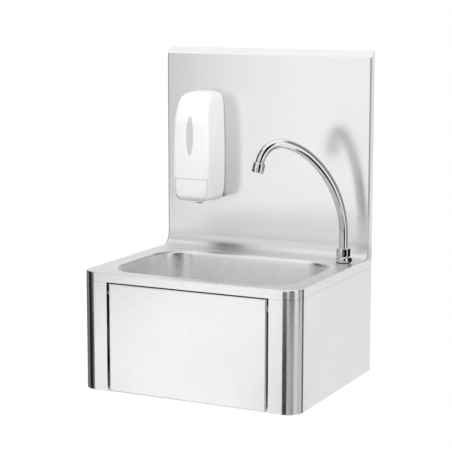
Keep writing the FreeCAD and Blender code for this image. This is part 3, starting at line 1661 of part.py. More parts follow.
deck_backsplash()
basin_bowl()
for word, side in SIDES:
    side_panel(word, side)
for make in (
    backing_strips,
    lower_wall_rail,
    hanging_rail,
    wall_bracket,
    knee_panel,
    hinge_pins,
    pin_clips,
    panel_bushes,
    panel_glide,
    push_pad,
    waste_body,
    waste_gaskets,
    waste_nut,
    waste_strainer,
    strainer_screw,
    spout_base,
    spout_nut,
    spout_seals,
    spout_sleeve,
    spout_retaining_ring,
    spout_gasket,
    spout_lock_screw,
    lock_screw_cap,
    shank_washer,
    shank_nut,
    spout_tube,
    spout_nozzle,
    aerator_insert,
    valve_beam,
    travel_stops,
    valve_body,
    valve_lock_nut,
    valve_button,
    valve_spring,
    valve_cartridge,
    valve_end_cap,
    mixing_tee,
    check_valves,
    inlet_filters,
    supply_pipe,
    pipe_nuts,
    dispenser_back_plate,
    dispenser_screws,
    dispenser_nuts,
    soap_tank,
    tank_lid,
    pump_body,
    pump_nozzle,
    pump_plunger,
    pump_spring,
    dispenser_cover,
    level_window,
    push_bar,
):
    make()
doc.recompute()

for thing in doc.Objects:
    if "Invalid" in thing.State or "Error" in thing.State:
        raise RuntimeError(f"{thing.Name} did not build: {thing.State}")
for thing in NODES:
    shape = thing.Shape
    if shape.isNull() or not shape.isValid() or not shape.Solids:
        raise RuntimeError(f"{thing.Label} is not a sound solid")

os.makedirs("parts", exist_ok=True)
for thing in NODES:
    thing.Shape.exportStep(f"parts/{thing.Label}.step")
    print(thing.Label, len(thing.Shape.Solids), round(thing.Shape.Volume))
print(len(NODES), "nodes")
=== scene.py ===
"""Looks of a wall-hung hand wash sink: knee panel, pressed bowl, swan-neck spout and soap dispenser.

Sizes in the classes are millimetres in the row's frame: X to the user's right, Y into the wall, Z up.
"""

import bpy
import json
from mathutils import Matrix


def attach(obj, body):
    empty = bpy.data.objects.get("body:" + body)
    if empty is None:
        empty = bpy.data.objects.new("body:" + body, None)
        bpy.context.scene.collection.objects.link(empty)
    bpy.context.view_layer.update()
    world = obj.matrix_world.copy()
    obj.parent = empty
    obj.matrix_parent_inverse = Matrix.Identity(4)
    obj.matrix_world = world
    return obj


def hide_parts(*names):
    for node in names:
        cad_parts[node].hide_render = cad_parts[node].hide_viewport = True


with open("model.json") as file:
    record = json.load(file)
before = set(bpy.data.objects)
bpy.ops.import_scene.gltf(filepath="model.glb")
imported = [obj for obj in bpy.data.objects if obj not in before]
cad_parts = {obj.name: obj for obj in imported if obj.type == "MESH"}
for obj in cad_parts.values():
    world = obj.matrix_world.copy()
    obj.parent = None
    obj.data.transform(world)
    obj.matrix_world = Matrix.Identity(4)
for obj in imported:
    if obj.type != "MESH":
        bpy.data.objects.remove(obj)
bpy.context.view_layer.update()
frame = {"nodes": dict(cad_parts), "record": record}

import json
import logging
import math
from dataclasses import dataclass, field
from enum import Enum
from typing import Any, Callable, Sequence

import bmesh
import bpy
import numpy as np
from mathutils import Matrix, Vector

LOG = logging.getLogger("sink")
MM = 0.001
SINK_MIDDLE = (0.0, -150.0, 300.0)
# The casing's inside: a box about its middle, grown by the radius of its round corners.
CASING_MIDDLE = (0.0, -100.0, 100.0)
CASING_CORE = (174.0, 204.0, 78.0)
CASING_CORNER = 24.9
# Degrees between faces above which an edge stays crisp.
SWEPT_EDGE = 35.0
TURNED_EDGE = 40.0
PRESSED_EDGE = 50.0
# Halvings that find a surface to well under a thousandth of a millimetre.
HALVINGS = 34
FAR_INSIDE = -50.0

Colour = tuple[float, float, float, float]
Points = np.ndarray


# ------------------------------------------------------------------ small helpers


def linear(code: str) -> Colour:
    """Turn an sRGB hex colour to linear light.

    Args:
        code: six hex digits after a hash.

    Returns:
        Red, green, blue and an alpha of one.
    """
    parts = [int(code[i : i + 2], 16) / 255 for i in (1, 3, 5)]
    bent = [p / 12.92 if p <= 0.04045 else ((p + 0.055) / 1.055) ** 2.4 for p in parts]
    return bent[0], bent[1], bent[2], 1.0


def darker(code: str, share: float) -> Colour:
    """Linear colour of a hex code with its light taken down to a share."""
    red, green, blue, alpha = linear(code)
    return red * share, green * share, blue * share, alpha


def blank_material(name: str) -> tuple[bpy.types.Material, bpy.types.NodeTree]:
    """Make a material with an empty node tree.

    Args:
        name: material's name.

    Returns:
        The material and its tree.
    """
    material = bpy.data.materials.new(name)
    material.use_nodes = True
    material.node_tree.nodes.clear()
    return material, material.node_tree


def add_node(tree: bpy.types.NodeTree, kind: str, sockets: dict[Any, Any] | None = None, **settings: Any) -> Any:
    """Add a node, set its options, and fill or link its input sockets.

    Args:
        tree: node tree that gets the node.
        kind: Blender's name of the node type.
        sockets: input name or number to a value, or to an output socket to link from.
        **settings: attributes of the node itself.

    Returns:
        The new node.
    """
    node = tree.nodes.new(kind)
    for name, value in settings.items():
        setattr(node, name, value)
    for name, value in (sockets or {}).items():
        if isinstance(value, bpy.types.NodeSocket):
            tree.links.new(value, node.inputs[name])
        else:
            node.inputs[name].default_value = value
    return node


def mesh_piece(name: str, points: Points, faces: Sequence[Sequence[int]]) -> bpy.types.Object:
    """Make a smoothly shaded object from points in millimetres.

    Args:
        name: piece's name.
        points: one row per point.
        faces: point numbers of each face.

    Returns:
        The linked object.
    """
    mesh = bpy.data.meshes.new(name)
    mesh.from_pydata((np.asarray(points, float) * MM).tolist(), [], [list(f) for f in faces])
    mesh.validate()
    mesh.polygons.foreach_set("use_smooth", [True] * len(mesh.polygons))
    piece = bpy.data.objects.new(name, mesh)
    bpy.context.scene.collection.objects.link(piece)
    return piece


def turn_angles(count: int) -> Points:
    """Evenly spaced angles of one full turn, in radians."""
    return np.linspace(0, 2 * math.pi, count, endpoint=False)


def level_ring(radius: Points | float, angles: Points, height: float) -> Points:
    """Points about the Z axis, all at one height.

    Args:
        radius: one radius, or one for each angle.
        angles: where the points stand, in radians.
        height: their Z.

    Returns:
        One row of X, Y and Z for each angle.
    """
    return np.column_stack([radius * np.cos(angles), radius * np.sin(angles), np.full(len(angles), height)])


def bridge(rows: int, columns: int, wrap: bool = True) -> list[tuple[int, int, int, int]]:
    """Number the quads of a grid of points that are stored row after row.

    Args:
        rows: how many rows there are.
        columns: points in each row.
        wrap: whether each row closes to a ring.

    Returns:
        The four point numbers of each quad.
    """
    last = columns if wrap else columns - 1
    return [
        (i * columns + j, i * columns + (j + 1) % columns, (i + 1) * columns + (j + 1) % columns, (i + 1) * columns + j)
        for i in range(rows - 1)
        for j in range(last)
    ]


def loft(name: str, rings: Sequence[Points], closed: bool = False) -> bpy.types.Object:
    """Join equal rings of points by quads.

    Args:
        name: piece's name.
        rings: rings with the same number of points.
        closed: whether both end rings get a face.

    Returns:
        The linked object.
    """
    count = len(rings[0])
    faces: list[Sequence[int]] = list(bridge(len(rings), count))
    if closed:
        faces.append(tuple(reversed(range(count))))
        faces.append(tuple(range((len(rings) - 1) * count, len(rings) * count)))
    return mesh_piece(name, np.concatenate(rings), faces)


def turned(name: str, profile: Sequence[tuple[float, float]], segments: int = 120) -> bpy.types.Object:
    """Turn a closed outline of (radius, height) about the Z axis.

    Args:
        name: piece's name.
        profile: outline in millimetres, its end joined to its start.
        segments: steps round the axis.

    Returns:
        The linked object, about the origin.
    """
    rings = [level_ring(radius, turn_angles(segments), z) for radius, z in profile]
    rings.append(rings[0])
    piece = loft(name, rings)
    weld(piece)
    return piece


def weld(piece: bpy.types.Object, reach: float = 0.001) -> None:
    """Join points that coincide, drop empty faces and turn the faces outwards.

    Args:
        piece: object whose mesh is cleaned.
        reach: how near coinciding points are, in millimetres.
    """
    work = bmesh.new()
    work.from_mesh(piece.data)
    bmesh.ops.remove_doubles(work, verts=work.verts, dist=reach * MM)
    bmesh.ops.dissolve_degenerate(work, edges=work.edges, dist=reach * MM * 0.5)
    bmesh.ops.recalc_face_normals(work, faces=work.faces)
    work.to_mesh(piece.data)
    work.free()


def apply_modifier(piece: bpy.types.Object, kind: str, **settings: Any) -> None:
    """Replace a piece's mesh by what one modifier makes of it.

    Args:
        piece: object to change.
        kind: Blender's name of the modifier's type.
        **settings: the modifier's options.
    """
    modifier = piece.modifiers.new(kind.title(), kind)
    for name, value in settings.items():
        setattr(modifier, name, value)
    bpy.context.view_layer.update()
    graph = bpy.context.evaluated_depsgraph_get()
    made = bpy.data.meshes.new_from_object(piece.evaluated_get(graph), depsgraph=graph)
    piece.modifiers.clear()
    piece.data = made


def crisp(piece: bpy.types.Object, degrees: float) -> None:
    """Shade smoothly but keep sharp edges crisp.

    Args:
        piece: object to shade.
        degrees: angle between faces above which an edge is sharp.
    """
    piece.data.polygons.foreach_set("use_smooth", [True] * len(piece.data.polygons))
    piece.data.set_sharp_from_angle(angle=math.radians(degrees))


def circle_through(a: Points, b: Points, c: Points) -> tuple[Points, float]:
    """Find the circle through three points in a plane.

    Args:
        a: first point.
        b: second point.
        c: third point.

    Returns:
        Its centre and its radius.
    """
    centre = np.linalg.solve(2 * np.array([b - a, c - a]), np.array([b @ b - a @ a, c @ c - a @ a]))
    return centre, float(np.linalg.norm(a - centre))


def arc(start: Sequence[float], middle: Sequence[float], end: Sequence[float], steps: int) -> Points:
    """Set points along the arc through three points in a plane.

    Args:
        start: its first end.
        middle: a point between.
        end: its other end.
        steps: how many parts the arc has.

    Returns:
        The points, both ends included.
    """
    a, b, c = (np.asarray(p, float) for p in (start, middle, end))
    centre, radius = circle_through(a, b, c)
    first, half, last = (math.atan2(*(p - centre)[::-1]) for p in (a, b, c))
    sweep = (last - first) % (2 * math.pi)
    if (half - first) % (2 * math.pi) > sweep:
        sweep -= 2 * math.pi
    turn = first + np.linspace(0, sweep, steps + 1)
    return centre + radius * np.stack([np.cos(turn), np.sin(turn)], 1)


# ------------------------------------------------------------------ finishes


@dataclass(frozen=True)
class Finish:
    """A surface finish that makes its own material, and whose subclasses fill the tree in dress()."""

    name: str
    colour: str

    def make(self) -> bpy.types.Material:
        """Make the material.

        Returns:
            The material, with its tree filled.
        """
        material, tree = blank_material(self.name)
        shader = add_node(tree, "ShaderNodeBsdfPrincipled")
        add_node(tree, "ShaderNodeOutputMaterial", {"Surface": shader.outputs[0]})
        self.dress(tree, shader)
        return material

    def dress(self, tree: bpy.types.NodeTree, shader: Any) -> None:
        """Fill the tree."""
        raise NotImplementedError

    def join(self, tree: bpy.types.NodeTree, shader: Any, tone: Any, rough: Any, relief: Any) -> None:
        """Link what a finish has worked out to its shader.

        Args:
            tree: the material's tree.
            shader: its surface shader.
            tone: mix whose colour is the surface's.
            rough: node with the roughness.
            relief: bump node.
        """
        tree.links.new(tone.outputs[2], shader.inputs["Base Color"])
        tree.links.new(rough.outputs[0], shader.inputs["Roughness"])
        tree.links.new(relief.outputs[0], shader.inputs["Normal"])

    def place(self, tree: bpy.types.NodeTree, cycles: float) -> Any:
        """Object coordinates stretched to a number of cycles per metre."""
        where = add_node(tree, "ShaderNodeTexCoord").outputs["Object"]
        return add_node(tree, "ShaderNodeMapping", {"Vector": where, "Scale": (cycles,) * 3}).outputs[0]


@dataclass(frozen=True)
class SatinSteel(Finish):
    """Stainless sheet, belt polished to a fine satin: bright, with soft blurred reflections and a faint grain.

    Heights are metres above the casing's lower edge. The sheet gets duller towards the deck, and a painted reflection
    makes it lighter just above its cove; both matched to the photograph, without a known reason in how it is made. The
    inside keeps its mill skin, duller and rougher, whose darker grey is also painted shade inside the casing.
    """

    roughness: float = 0.2
    spread: float = 0.03
    grit: float = 560.0
    grit_range: tuple[float, float] = (0.32, 0.68)
    clouds: float = 9.0
    depth: float = 0.05
    contrast: float = 0.88
    deck_height: float = 0.2035
    deck_blur: float = 0.17
    blur_heights: tuple[float, float] = (0.31, 0.24)
    # Painted reflection: heights and lighter grey of a band just above the cove.
    painted_reflection_heights: tuple[float, float] = (0.212, 0.238)
    painted_reflection_colour: str = "#f6f6f6"
    # Whether the sheet gets the painted reflection above its cove and the darker mill skin, partly painted shade,
    # inside the casing.
    mill: bool = True
    # Grey of the mill skin inside the casing, partly painted shade there.
    mill_and_shade_colour: str = "#8d8d8c"
    mill_roughness: float = 0.42

    def dress(self, tree: bpy.types.NodeTree, shader: Any) -> None:
        """Give the sheet its grit, which is 0.1 mm wide, too fine to show, and so is drawn about 2 mm wide.

        Args:
            tree: the material's tree.
            shader: its surface shader.
        """
        grit = add_node(
            tree,
            "ShaderNodeTexNoise",
            {"Vector": self.place(tree, self.grit), "Scale": 1.0, "Detail": 3.0, "Roughness": 0.6},
        )
        clouds = add_node(
            tree,
            "ShaderNodeTexNoise",
            {"Vector": self.place(tree, self.clouds), "Scale": 1.0, "Detail": 2.0},
        )
        least, most = self.roughness - self.spread, self.roughness + self.spread
        rough = add_node(
            tree, "ShaderNodeMapRange", {"Value": clouds.outputs[0], "To Min": least, "To Max": most}
        )
        high_end, low_end = self.blur_heights
        low = add_node(
            tree,
            "ShaderNodeMapRange",
            {"Value": self.height(tree), "From Min": high_end, "From Max": low_end, "To Max": self.deck_blur},
            interpolation_type="SMOOTHSTEP",
        )
        deck = add_node(
            tree, "ShaderNodeMath", {0: self.height(tree), 1: self.deck_height}, operation="GREATER_THAN"
        )
        extra = add_node(tree, "ShaderNodeMath", {0: low.outputs[0], 1: deck.outputs[0]}, operation="MULTIPLY")
        rough = add_node(tree, "ShaderNodeMath", {0: rough.outputs[0], 1: extra.outputs[0]}, operation="ADD")
        faint, full = self.grit_range
        stretch = add_node(
            tree, "ShaderNodeMapRange", {"Value": grit.outputs[0], "From Min": faint, "From Max": full}
        )
        tone = add_node(
            tree,
            "ShaderNodeMix",
            {0: stretch.outputs[0], 6: darker(self.colour, self.contrast), 7: linear(self.colour)},
            data_type="RGBA",
        )
        if self.mill:
            # Painted reflection: the colour is mixed to a lighter grey in a band just above the cove.
            foot, head = self.painted_reflection_heights
            above = add_node(
                tree,
                "ShaderNodeMapRange",
                {"Value": self.height(tree), "From Min": foot, "From Max": head, "To Max": 1 / self.deck_blur},
                interpolation_type="SMOOTHSTEP",
            )
            share = add_node(tree, "ShaderNodeMath", {0: low.outputs[0], 1: above.outputs[0]}, operation="MULTIPLY")
            tone = add_node(
                tree,
                "ShaderNodeMix",
                {0: share.outputs[0], 6: tone.outputs[2], 7: linear(self.painted_reflection_colour)},
                data_type="RGBA",
            )
            # Mill skin inside the casing: duller and rougher, its darker grey partly painted shade.
            inner = self.inside(tree)
            rough = add_node(tree, "ShaderNodeMix", {0: inner, 2: rough.outputs[0], 3: self.mill_roughness})
            tone = add_node(
                tree, "ShaderNodeMix", {0: inner, 6: tone.outputs[2], 7: linear(self.mill_and_shade_colour)}, data_type="RGBA"
            )
        bump = add_node(
            tree,
            "ShaderNodeBump",
            {"Height": grit.outputs[0], "Strength": self.depth, "Distance": 0.2 * MM},
        )
        self.join(tree, shader, tone, rough, bump)
        shader.inputs["Metallic"].default_value = 1.0

    def height(self, tree: bpy.types.NodeTree) -> Any:
        """Height in metres."""
        where = add_node(tree, "ShaderNodeTexCoord")
        return add_node(tree, "ShaderNodeSeparateXYZ", {0: where.outputs["Object"]}).outputs[2]

    def inside(self, tree: bpy.types.NodeTree) -> Any:
        """Mark where the sheet faces the inside of the casing and keeps the mill's dull skin, its darker grey partly
        painted shade.

        Args:
            tree: the material's tree.

        Returns:
            Output that is one there, else zero.
        """
        where = add_node(tree, "ShaderNodeTexCoord")
        away = add_node(
            tree,
            "ShaderNodeVectorMath",
            {0: where.outputs["Object"], 1: tuple(c * MM for c in CASING_MIDDLE)},
            operation="SUBTRACT",
        )
        away = add_node(tree, "ShaderNodeVectorMath", {0: away.outputs[0]}, operation="ABSOLUTE")
        beyond = add_node(
            tree,
            "ShaderNodeVectorMath",
            {0: away.outputs[0], 1: tuple(c * MM for c in CASING_CORE)},
            operation="SUBTRACT",
        )
        beyond = add_node(tree, "ShaderNodeVectorMath", {0: beyond.outputs[0], 1: (0.0, 0.0, 0.0)}, operation="MAXIMUM")
        beyond = add_node(tree, "ShaderNodeVectorMath", {0: beyond.outputs[0]}, operation="LENGTH")
        return add_node(
            tree, "ShaderNodeMath", {0: beyond.outputs["Value"], 1: CASING_CORNER * MM}, operation="LESS_THAN"
        ).outputs[0]


@dataclass(frozen=True)
class SmoothMetal(Finish):
    """Plated, turned or drawn metal with a cloudy roughness and a faint waviness."""

    roughness: float = 0.08
    cloud: float = 60.0
    wave: float = 0.02

    def dress(self, tree: bpy.types.NodeTree, shader: Any) -> None:
        """Cloud the metal as handling does, in patches of 15 to 25 mm.

        Args:
            tree: the material's tree.
            shader: its surface shader.
        """
        clouds = add_node(
            tree,
            "ShaderNodeTexNoise",
            {"Vector": self.place(tree, self.cloud), "Scale": 1.0, "Detail": 4.0},
        )
        rough = add_node(
            tree,
            "ShaderNodeMapRange",
            {"Value": clouds.outputs[0], "To Min": self.roughness * 0.7, "To Max": self.roughness * 1.4},
        )
        tone = add_node(
            tree,
            "ShaderNodeMix",
            {0: clouds.outputs[0], 6: darker(self.colour, 0.9), 7: linear(self.colour)},
            data_type="RGBA",
        )
        bump = add_node(
            tree,
            "ShaderNodeBump",
            {"Height": clouds.outputs[0], "Strength": self.wave, "Distance": MM},
        )
        self.join(tree, shader, tone, rough, bump)
        shader.inputs["Metallic"].default_value = 1.0


@dataclass(frozen=True)
class MouldedPlastic(Finish):
    """Injection-moulded plastic: even colour with a fine eggshell texture from the mould."""

    roughness: float = 0.3
    texture: float = 1400.0
    depth: float = 0.04
    ior: float = 1.5

    def dress(self, tree: bpy.types.NodeTree, shader: Any) -> None:
        """Give the mould's texture, which is 0.1 mm wide and is drawn about 0.7 mm wide so that it shows.

        Args:
            tree: the material's tree.
            shader: its surface shader.
        """
        grit = add_node(
            tree,
            "ShaderNodeTexNoise",
            {"Vector": self.place(tree, self.texture), "Scale": 1.0, "Detail": 2.0},
        )
        rough = add_node(
            tree,
            "ShaderNodeMapRange",
            {"Value": grit.outputs[0], "To Min": self.roughness * 0.85, "To Max": self.roughness * 1.2},
        )
        tone = add_node(
            tree,
            "ShaderNodeMix",
            {0: grit.outputs[0], 6: darker(self.colour, 0.97), 7: linear(self.colour)},
            data_type="RGBA",
        )
        bump = add_node(
            tree,
            "ShaderNodeBump",
            {"Height": grit.outputs[0], "Strength": self.depth, "Distance": 0.2 * MM},
        )
        self.join(tree, shader, tone, rough, bump)
        shader.inputs["IOR"].default_value = self.ior


FINISHES: dict[str, Finish] = {
    # Belt-polished sheet: pale, and mirrors only as soft smears; a painted reflection lightens it just above the cove,
    # and its inside gets painted shade.
    "satin_steel": SatinSteel("satin_stainless_sheet", "#e0e0e0"),
    # Zinc plate on hidden brackets: bluish grey, dull and cloudy.
    "zinc_steel": SmoothMetal("zinc_plated_steel", "#c3c6c8", 0.32),
    # Polished stainless: warm white with fairly clear reflections.
    "polished_steel": SmoothMetal("polished_stainless_pressing", "#e3e3e1", 0.12),
    # Chrome on polished brass: a clear mirror with hard dark and bright lines.
    "chrome": SmoothMetal("bright_chrome_plate", "#d6d8da", 0.03, 40.0, 0.01),
    # Turned brass: yellow, with a broad soft shine.
    "brass": SmoothMetal("turned_brass", "#d8b56a", 0.25),
    # Drawn copper: reddish, with a smooth long shine.
    "pipe_steel": SmoothMetal("drawn_copper_pipe", "#c9875f", 0.22),
    # Drawn spring wire: plain grey, half dull.
    "spring_steel": SmoothMetal("spring_wire", "#a9abad", 0.28),
    # Moulded rubber: near black and almost without shine.
    "black_rubber": MouldedPlastic("black_rubber", "#1b1b1c", 0.6),
    # Moulded ABS: clean white with a soft gloss.
    "white_plastic": MouldedPlastic("white_abs_moulding", "#f7f7f6", 0.28),
    # Smoked pane before the tank: pale grey and glossier than the cover.
    "window_plastic": MouldedPlastic("smoked_window_moulding", "#d3d3d3", 0.18),
    # Natural acetal: ivory, waxy and soft in its shine.
    "inner_plastic": MouldedPlastic("natural_acetal_moulding", "#dedcd4", 0.4),
    # Polypropylene tank: milky, faintly green and half matt.
    "tank_plastic": MouldedPlastic("milky_polypropylene_moulding", "#e4e6e4", 0.35),
    # Nylon cap: black, with little gloss.
    "black_plastic": MouldedPlastic("black_nylon_moulding", "#0a0a0a", 0.45, ior=1.38),
    # Coloured acetal: light grey and half matt.
    "grey_plastic": MouldedPlastic("grey_acetal_moulding", "#b7b8b8", 0.4),
}

OWN_FINISHES: dict[str, Finish] = {
    # Deep-drawn sheet: more speckled, and duller in its reflections than the belt-polished one.
    "basin_bowl": SatinSteel("drawn_stainless_bowl", "#ececec", 0.31, 0.04, contrast=0.8, deck_blur=0.0, mill=False),
}


class Workshop:
    """Hands out one material per slot, and dresses nodes and pieces."""

    def __init__(self) -> None:
        """Make every slot's material."""
        self.materials = {slot: finish.make() for slot, finish in (FINISHES | OWN_FINISHES).items()}
        self.slot_of = {row["node"]: row["material_slot"] for row in frame["record"]["subparts"]}

    def material(self, node: str) -> bpy.types.Material:
        """Material of a node: its own, or else its slot's."""
        return self.materials[node if node in OWN_FINISHES else self.slot_of[node]]

    def dress_nodes(self) -> None:
        """Give each carried-over CAD node its slot's material."""
        for name, thing in frame["nodes"].items():
            thing.data.materials.clear()
            thing.data.materials.append(self.material(name))

    def place(self, piece: bpy.types.Object, body: str, *nodes: str) -> None:
        """Dress a piece as the first node it stands for, and let it ride.

        Args:
            piece: the finished mesh.
            body: CAD body it moves with.
            *nodes: CAD nodes it stands for.
        """
        piece.data.materials.clear()
        piece.data.materials.append(self.material(nodes[0]))
        piece.data.polygons.foreach_set("material_index", [0] * len(piece.data.polygons))
        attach(piece, body)
        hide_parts(*nodes)
        LOG.info("%s: %d faces on %s", piece.name, len(piece.data.polygons), body)


# ------------------------------------------------------------------ bowl


@dataclass
class Bowl:
    """Pressed bowl: rolled rim, drafted wall, round floor edge and a dish about the waste."""

    centre_y: float = -188.0
    half_x: float = 167.0
    half_y: float = 115.0
    corner: float = 60.0
    roll: float = 8.0
    roll_end: float = 84.0
    deck_z: float = 204.0
    draft: float = 6.0
    floor_z: float = 84.0
    floor_edge: float = 35.0
    dish_radius: float = 50.0
    dish_top: float = 83.5
    dish_low: float = 81.0
    seat_radius: float = 33.6
    bore_radius: float = 24.4
    skin: float = 1.2
    corner_steps: int = 28
    side_steps: int = 10
    roll_steps: int = 12
    wall_steps: int = 14
    edge_steps: int = 18
    floor_steps: int = 8

    def outline(self, inset: float, z: float) -> Points:
        """Draw the rounded rectangle of the wall at a height.

        Args:
            inset: how far it lies inside the wall's top outline.
            z: its height.

        Returns:
            One row of X, Y and Z for each point.
        """
        hx, hy, r = self.half_x - inset, self.half_y - inset, self.corner - inset
        points: list[tuple[float, float]] = []
        for sx, sy, start in ((1, 1, 0), (-1, 1, 90), (-1, -1, 180), (1, -1, 270)):
            for k in range(self.corner_steps + 1):
                a = math.radians(start + 90 * k / self.corner_steps)
                points.append((sx * (hx - r) + r * math.cos(a), sy * (hy - r) + r * math.sin(a)))
        full: list[tuple[float, float]] = []
        count = self.corner_steps + 1
        for i in range(4):
            full += points[i * count : (i + 1) * count]
            a, b = points[(i + 1) * count - 1], points[((i + 1) * count) % (4 * count)]
            for k in range(1, self.side_steps):
                t = k / self.side_steps
                full.append((a[0] + (b[0] - a[0]) * t, a[1] + (b[1] - a[1]) * t))
        flat = np.array(full)
        return np.column_stack([flat[:, 0], flat[:, 1] + self.centre_y, np.full(len(flat), z)])

    def circle(self, like: Points, radius: float, z: float) -> Points:
        """Circle about the waste with a point in the direction of each point of a ring."""
        angles = np.arctan2(like[:, 1] - self.centre_y, like[:, 0])
        return level_ring(radius, angles, z) + [0.0, self.centre_y, 0.0]

    def build(self, shop: Workshop) -> None:
        """Loft the bowl's inside, and give it the sheet's thickness outwards.

        Args:
            shop: where it is dressed.
        """
        rings = []
        for step in range(self.roll_steps + 1):
            a = math.radians(self.roll_end * step / self.roll_steps)
            rings.append(
                self.outline(-self.roll * (1 - math.sin(a)), self.deck_z - self.roll * (1 - math.cos(a)))
            )
        top_z = rings[-1][0, 2]
        slope = math.tan(math.radians(self.draft))
        edge_z = self.floor_z + self.floor_edge
        low_z = edge_z - self.floor_edge * math.sin(math.radians(self.draft))
        for step in range(1, self.wall_steps + 1):
            z = top_z + (low_z - top_z) * step / self.wall_steps
            rings.append(self.outline((top_z - z) * slope, z))
        inset = (top_z - low_z) * slope + self.floor_edge * math.cos(math.radians(self.draft))
        for step in range(1, self.edge_steps + 1):
            a = math.radians(self.draft + (90 - self.draft) * step / self.edge_steps)
            rings.append(
                self.outline(inset - self.floor_edge * math.cos(a), edge_z - self.floor_edge * math.sin(a))
            )
        last = rings[-1]
        rim = self.circle(last, self.dish_radius, self.dish_top)
        shares = [step / self.floor_steps for step in range(1, self.floor_steps + 1)]
        rings += [last * (1 - t) + rim * t for t in shares]
        for t in shares:
            ease = t * t * (3 - 2 * t)
            radius = self.dish_radius + (self.seat_radius - self.dish_radius) * t
            rings.append(self.circle(last, radius, self.dish_top + (self.dish_low - self.dish_top) * ease))
        rings.append(self.circle(last, self.bore_radius, self.dish_low))
        piece = loft("bowl_pressing", rings)
        apply_modifier(piece, "SOLIDIFY", thickness=self.skin * MM, offset=self.outward(piece))
        crisp(piece, PRESSED_EDGE)
        shop.place(piece, "cabinet", "basin_bowl")

    def outward(self, piece: bpy.types.Object) -> float:
        """Side on which the sheet's thickness goes, so that the inside stays where it is."""
        floor = min(piece.data.polygons, key=lambda f: f.center.z)
        return -1.0 if floor.normal.z > 0 else 1.0


# ------------------------------------------------------------------ spout


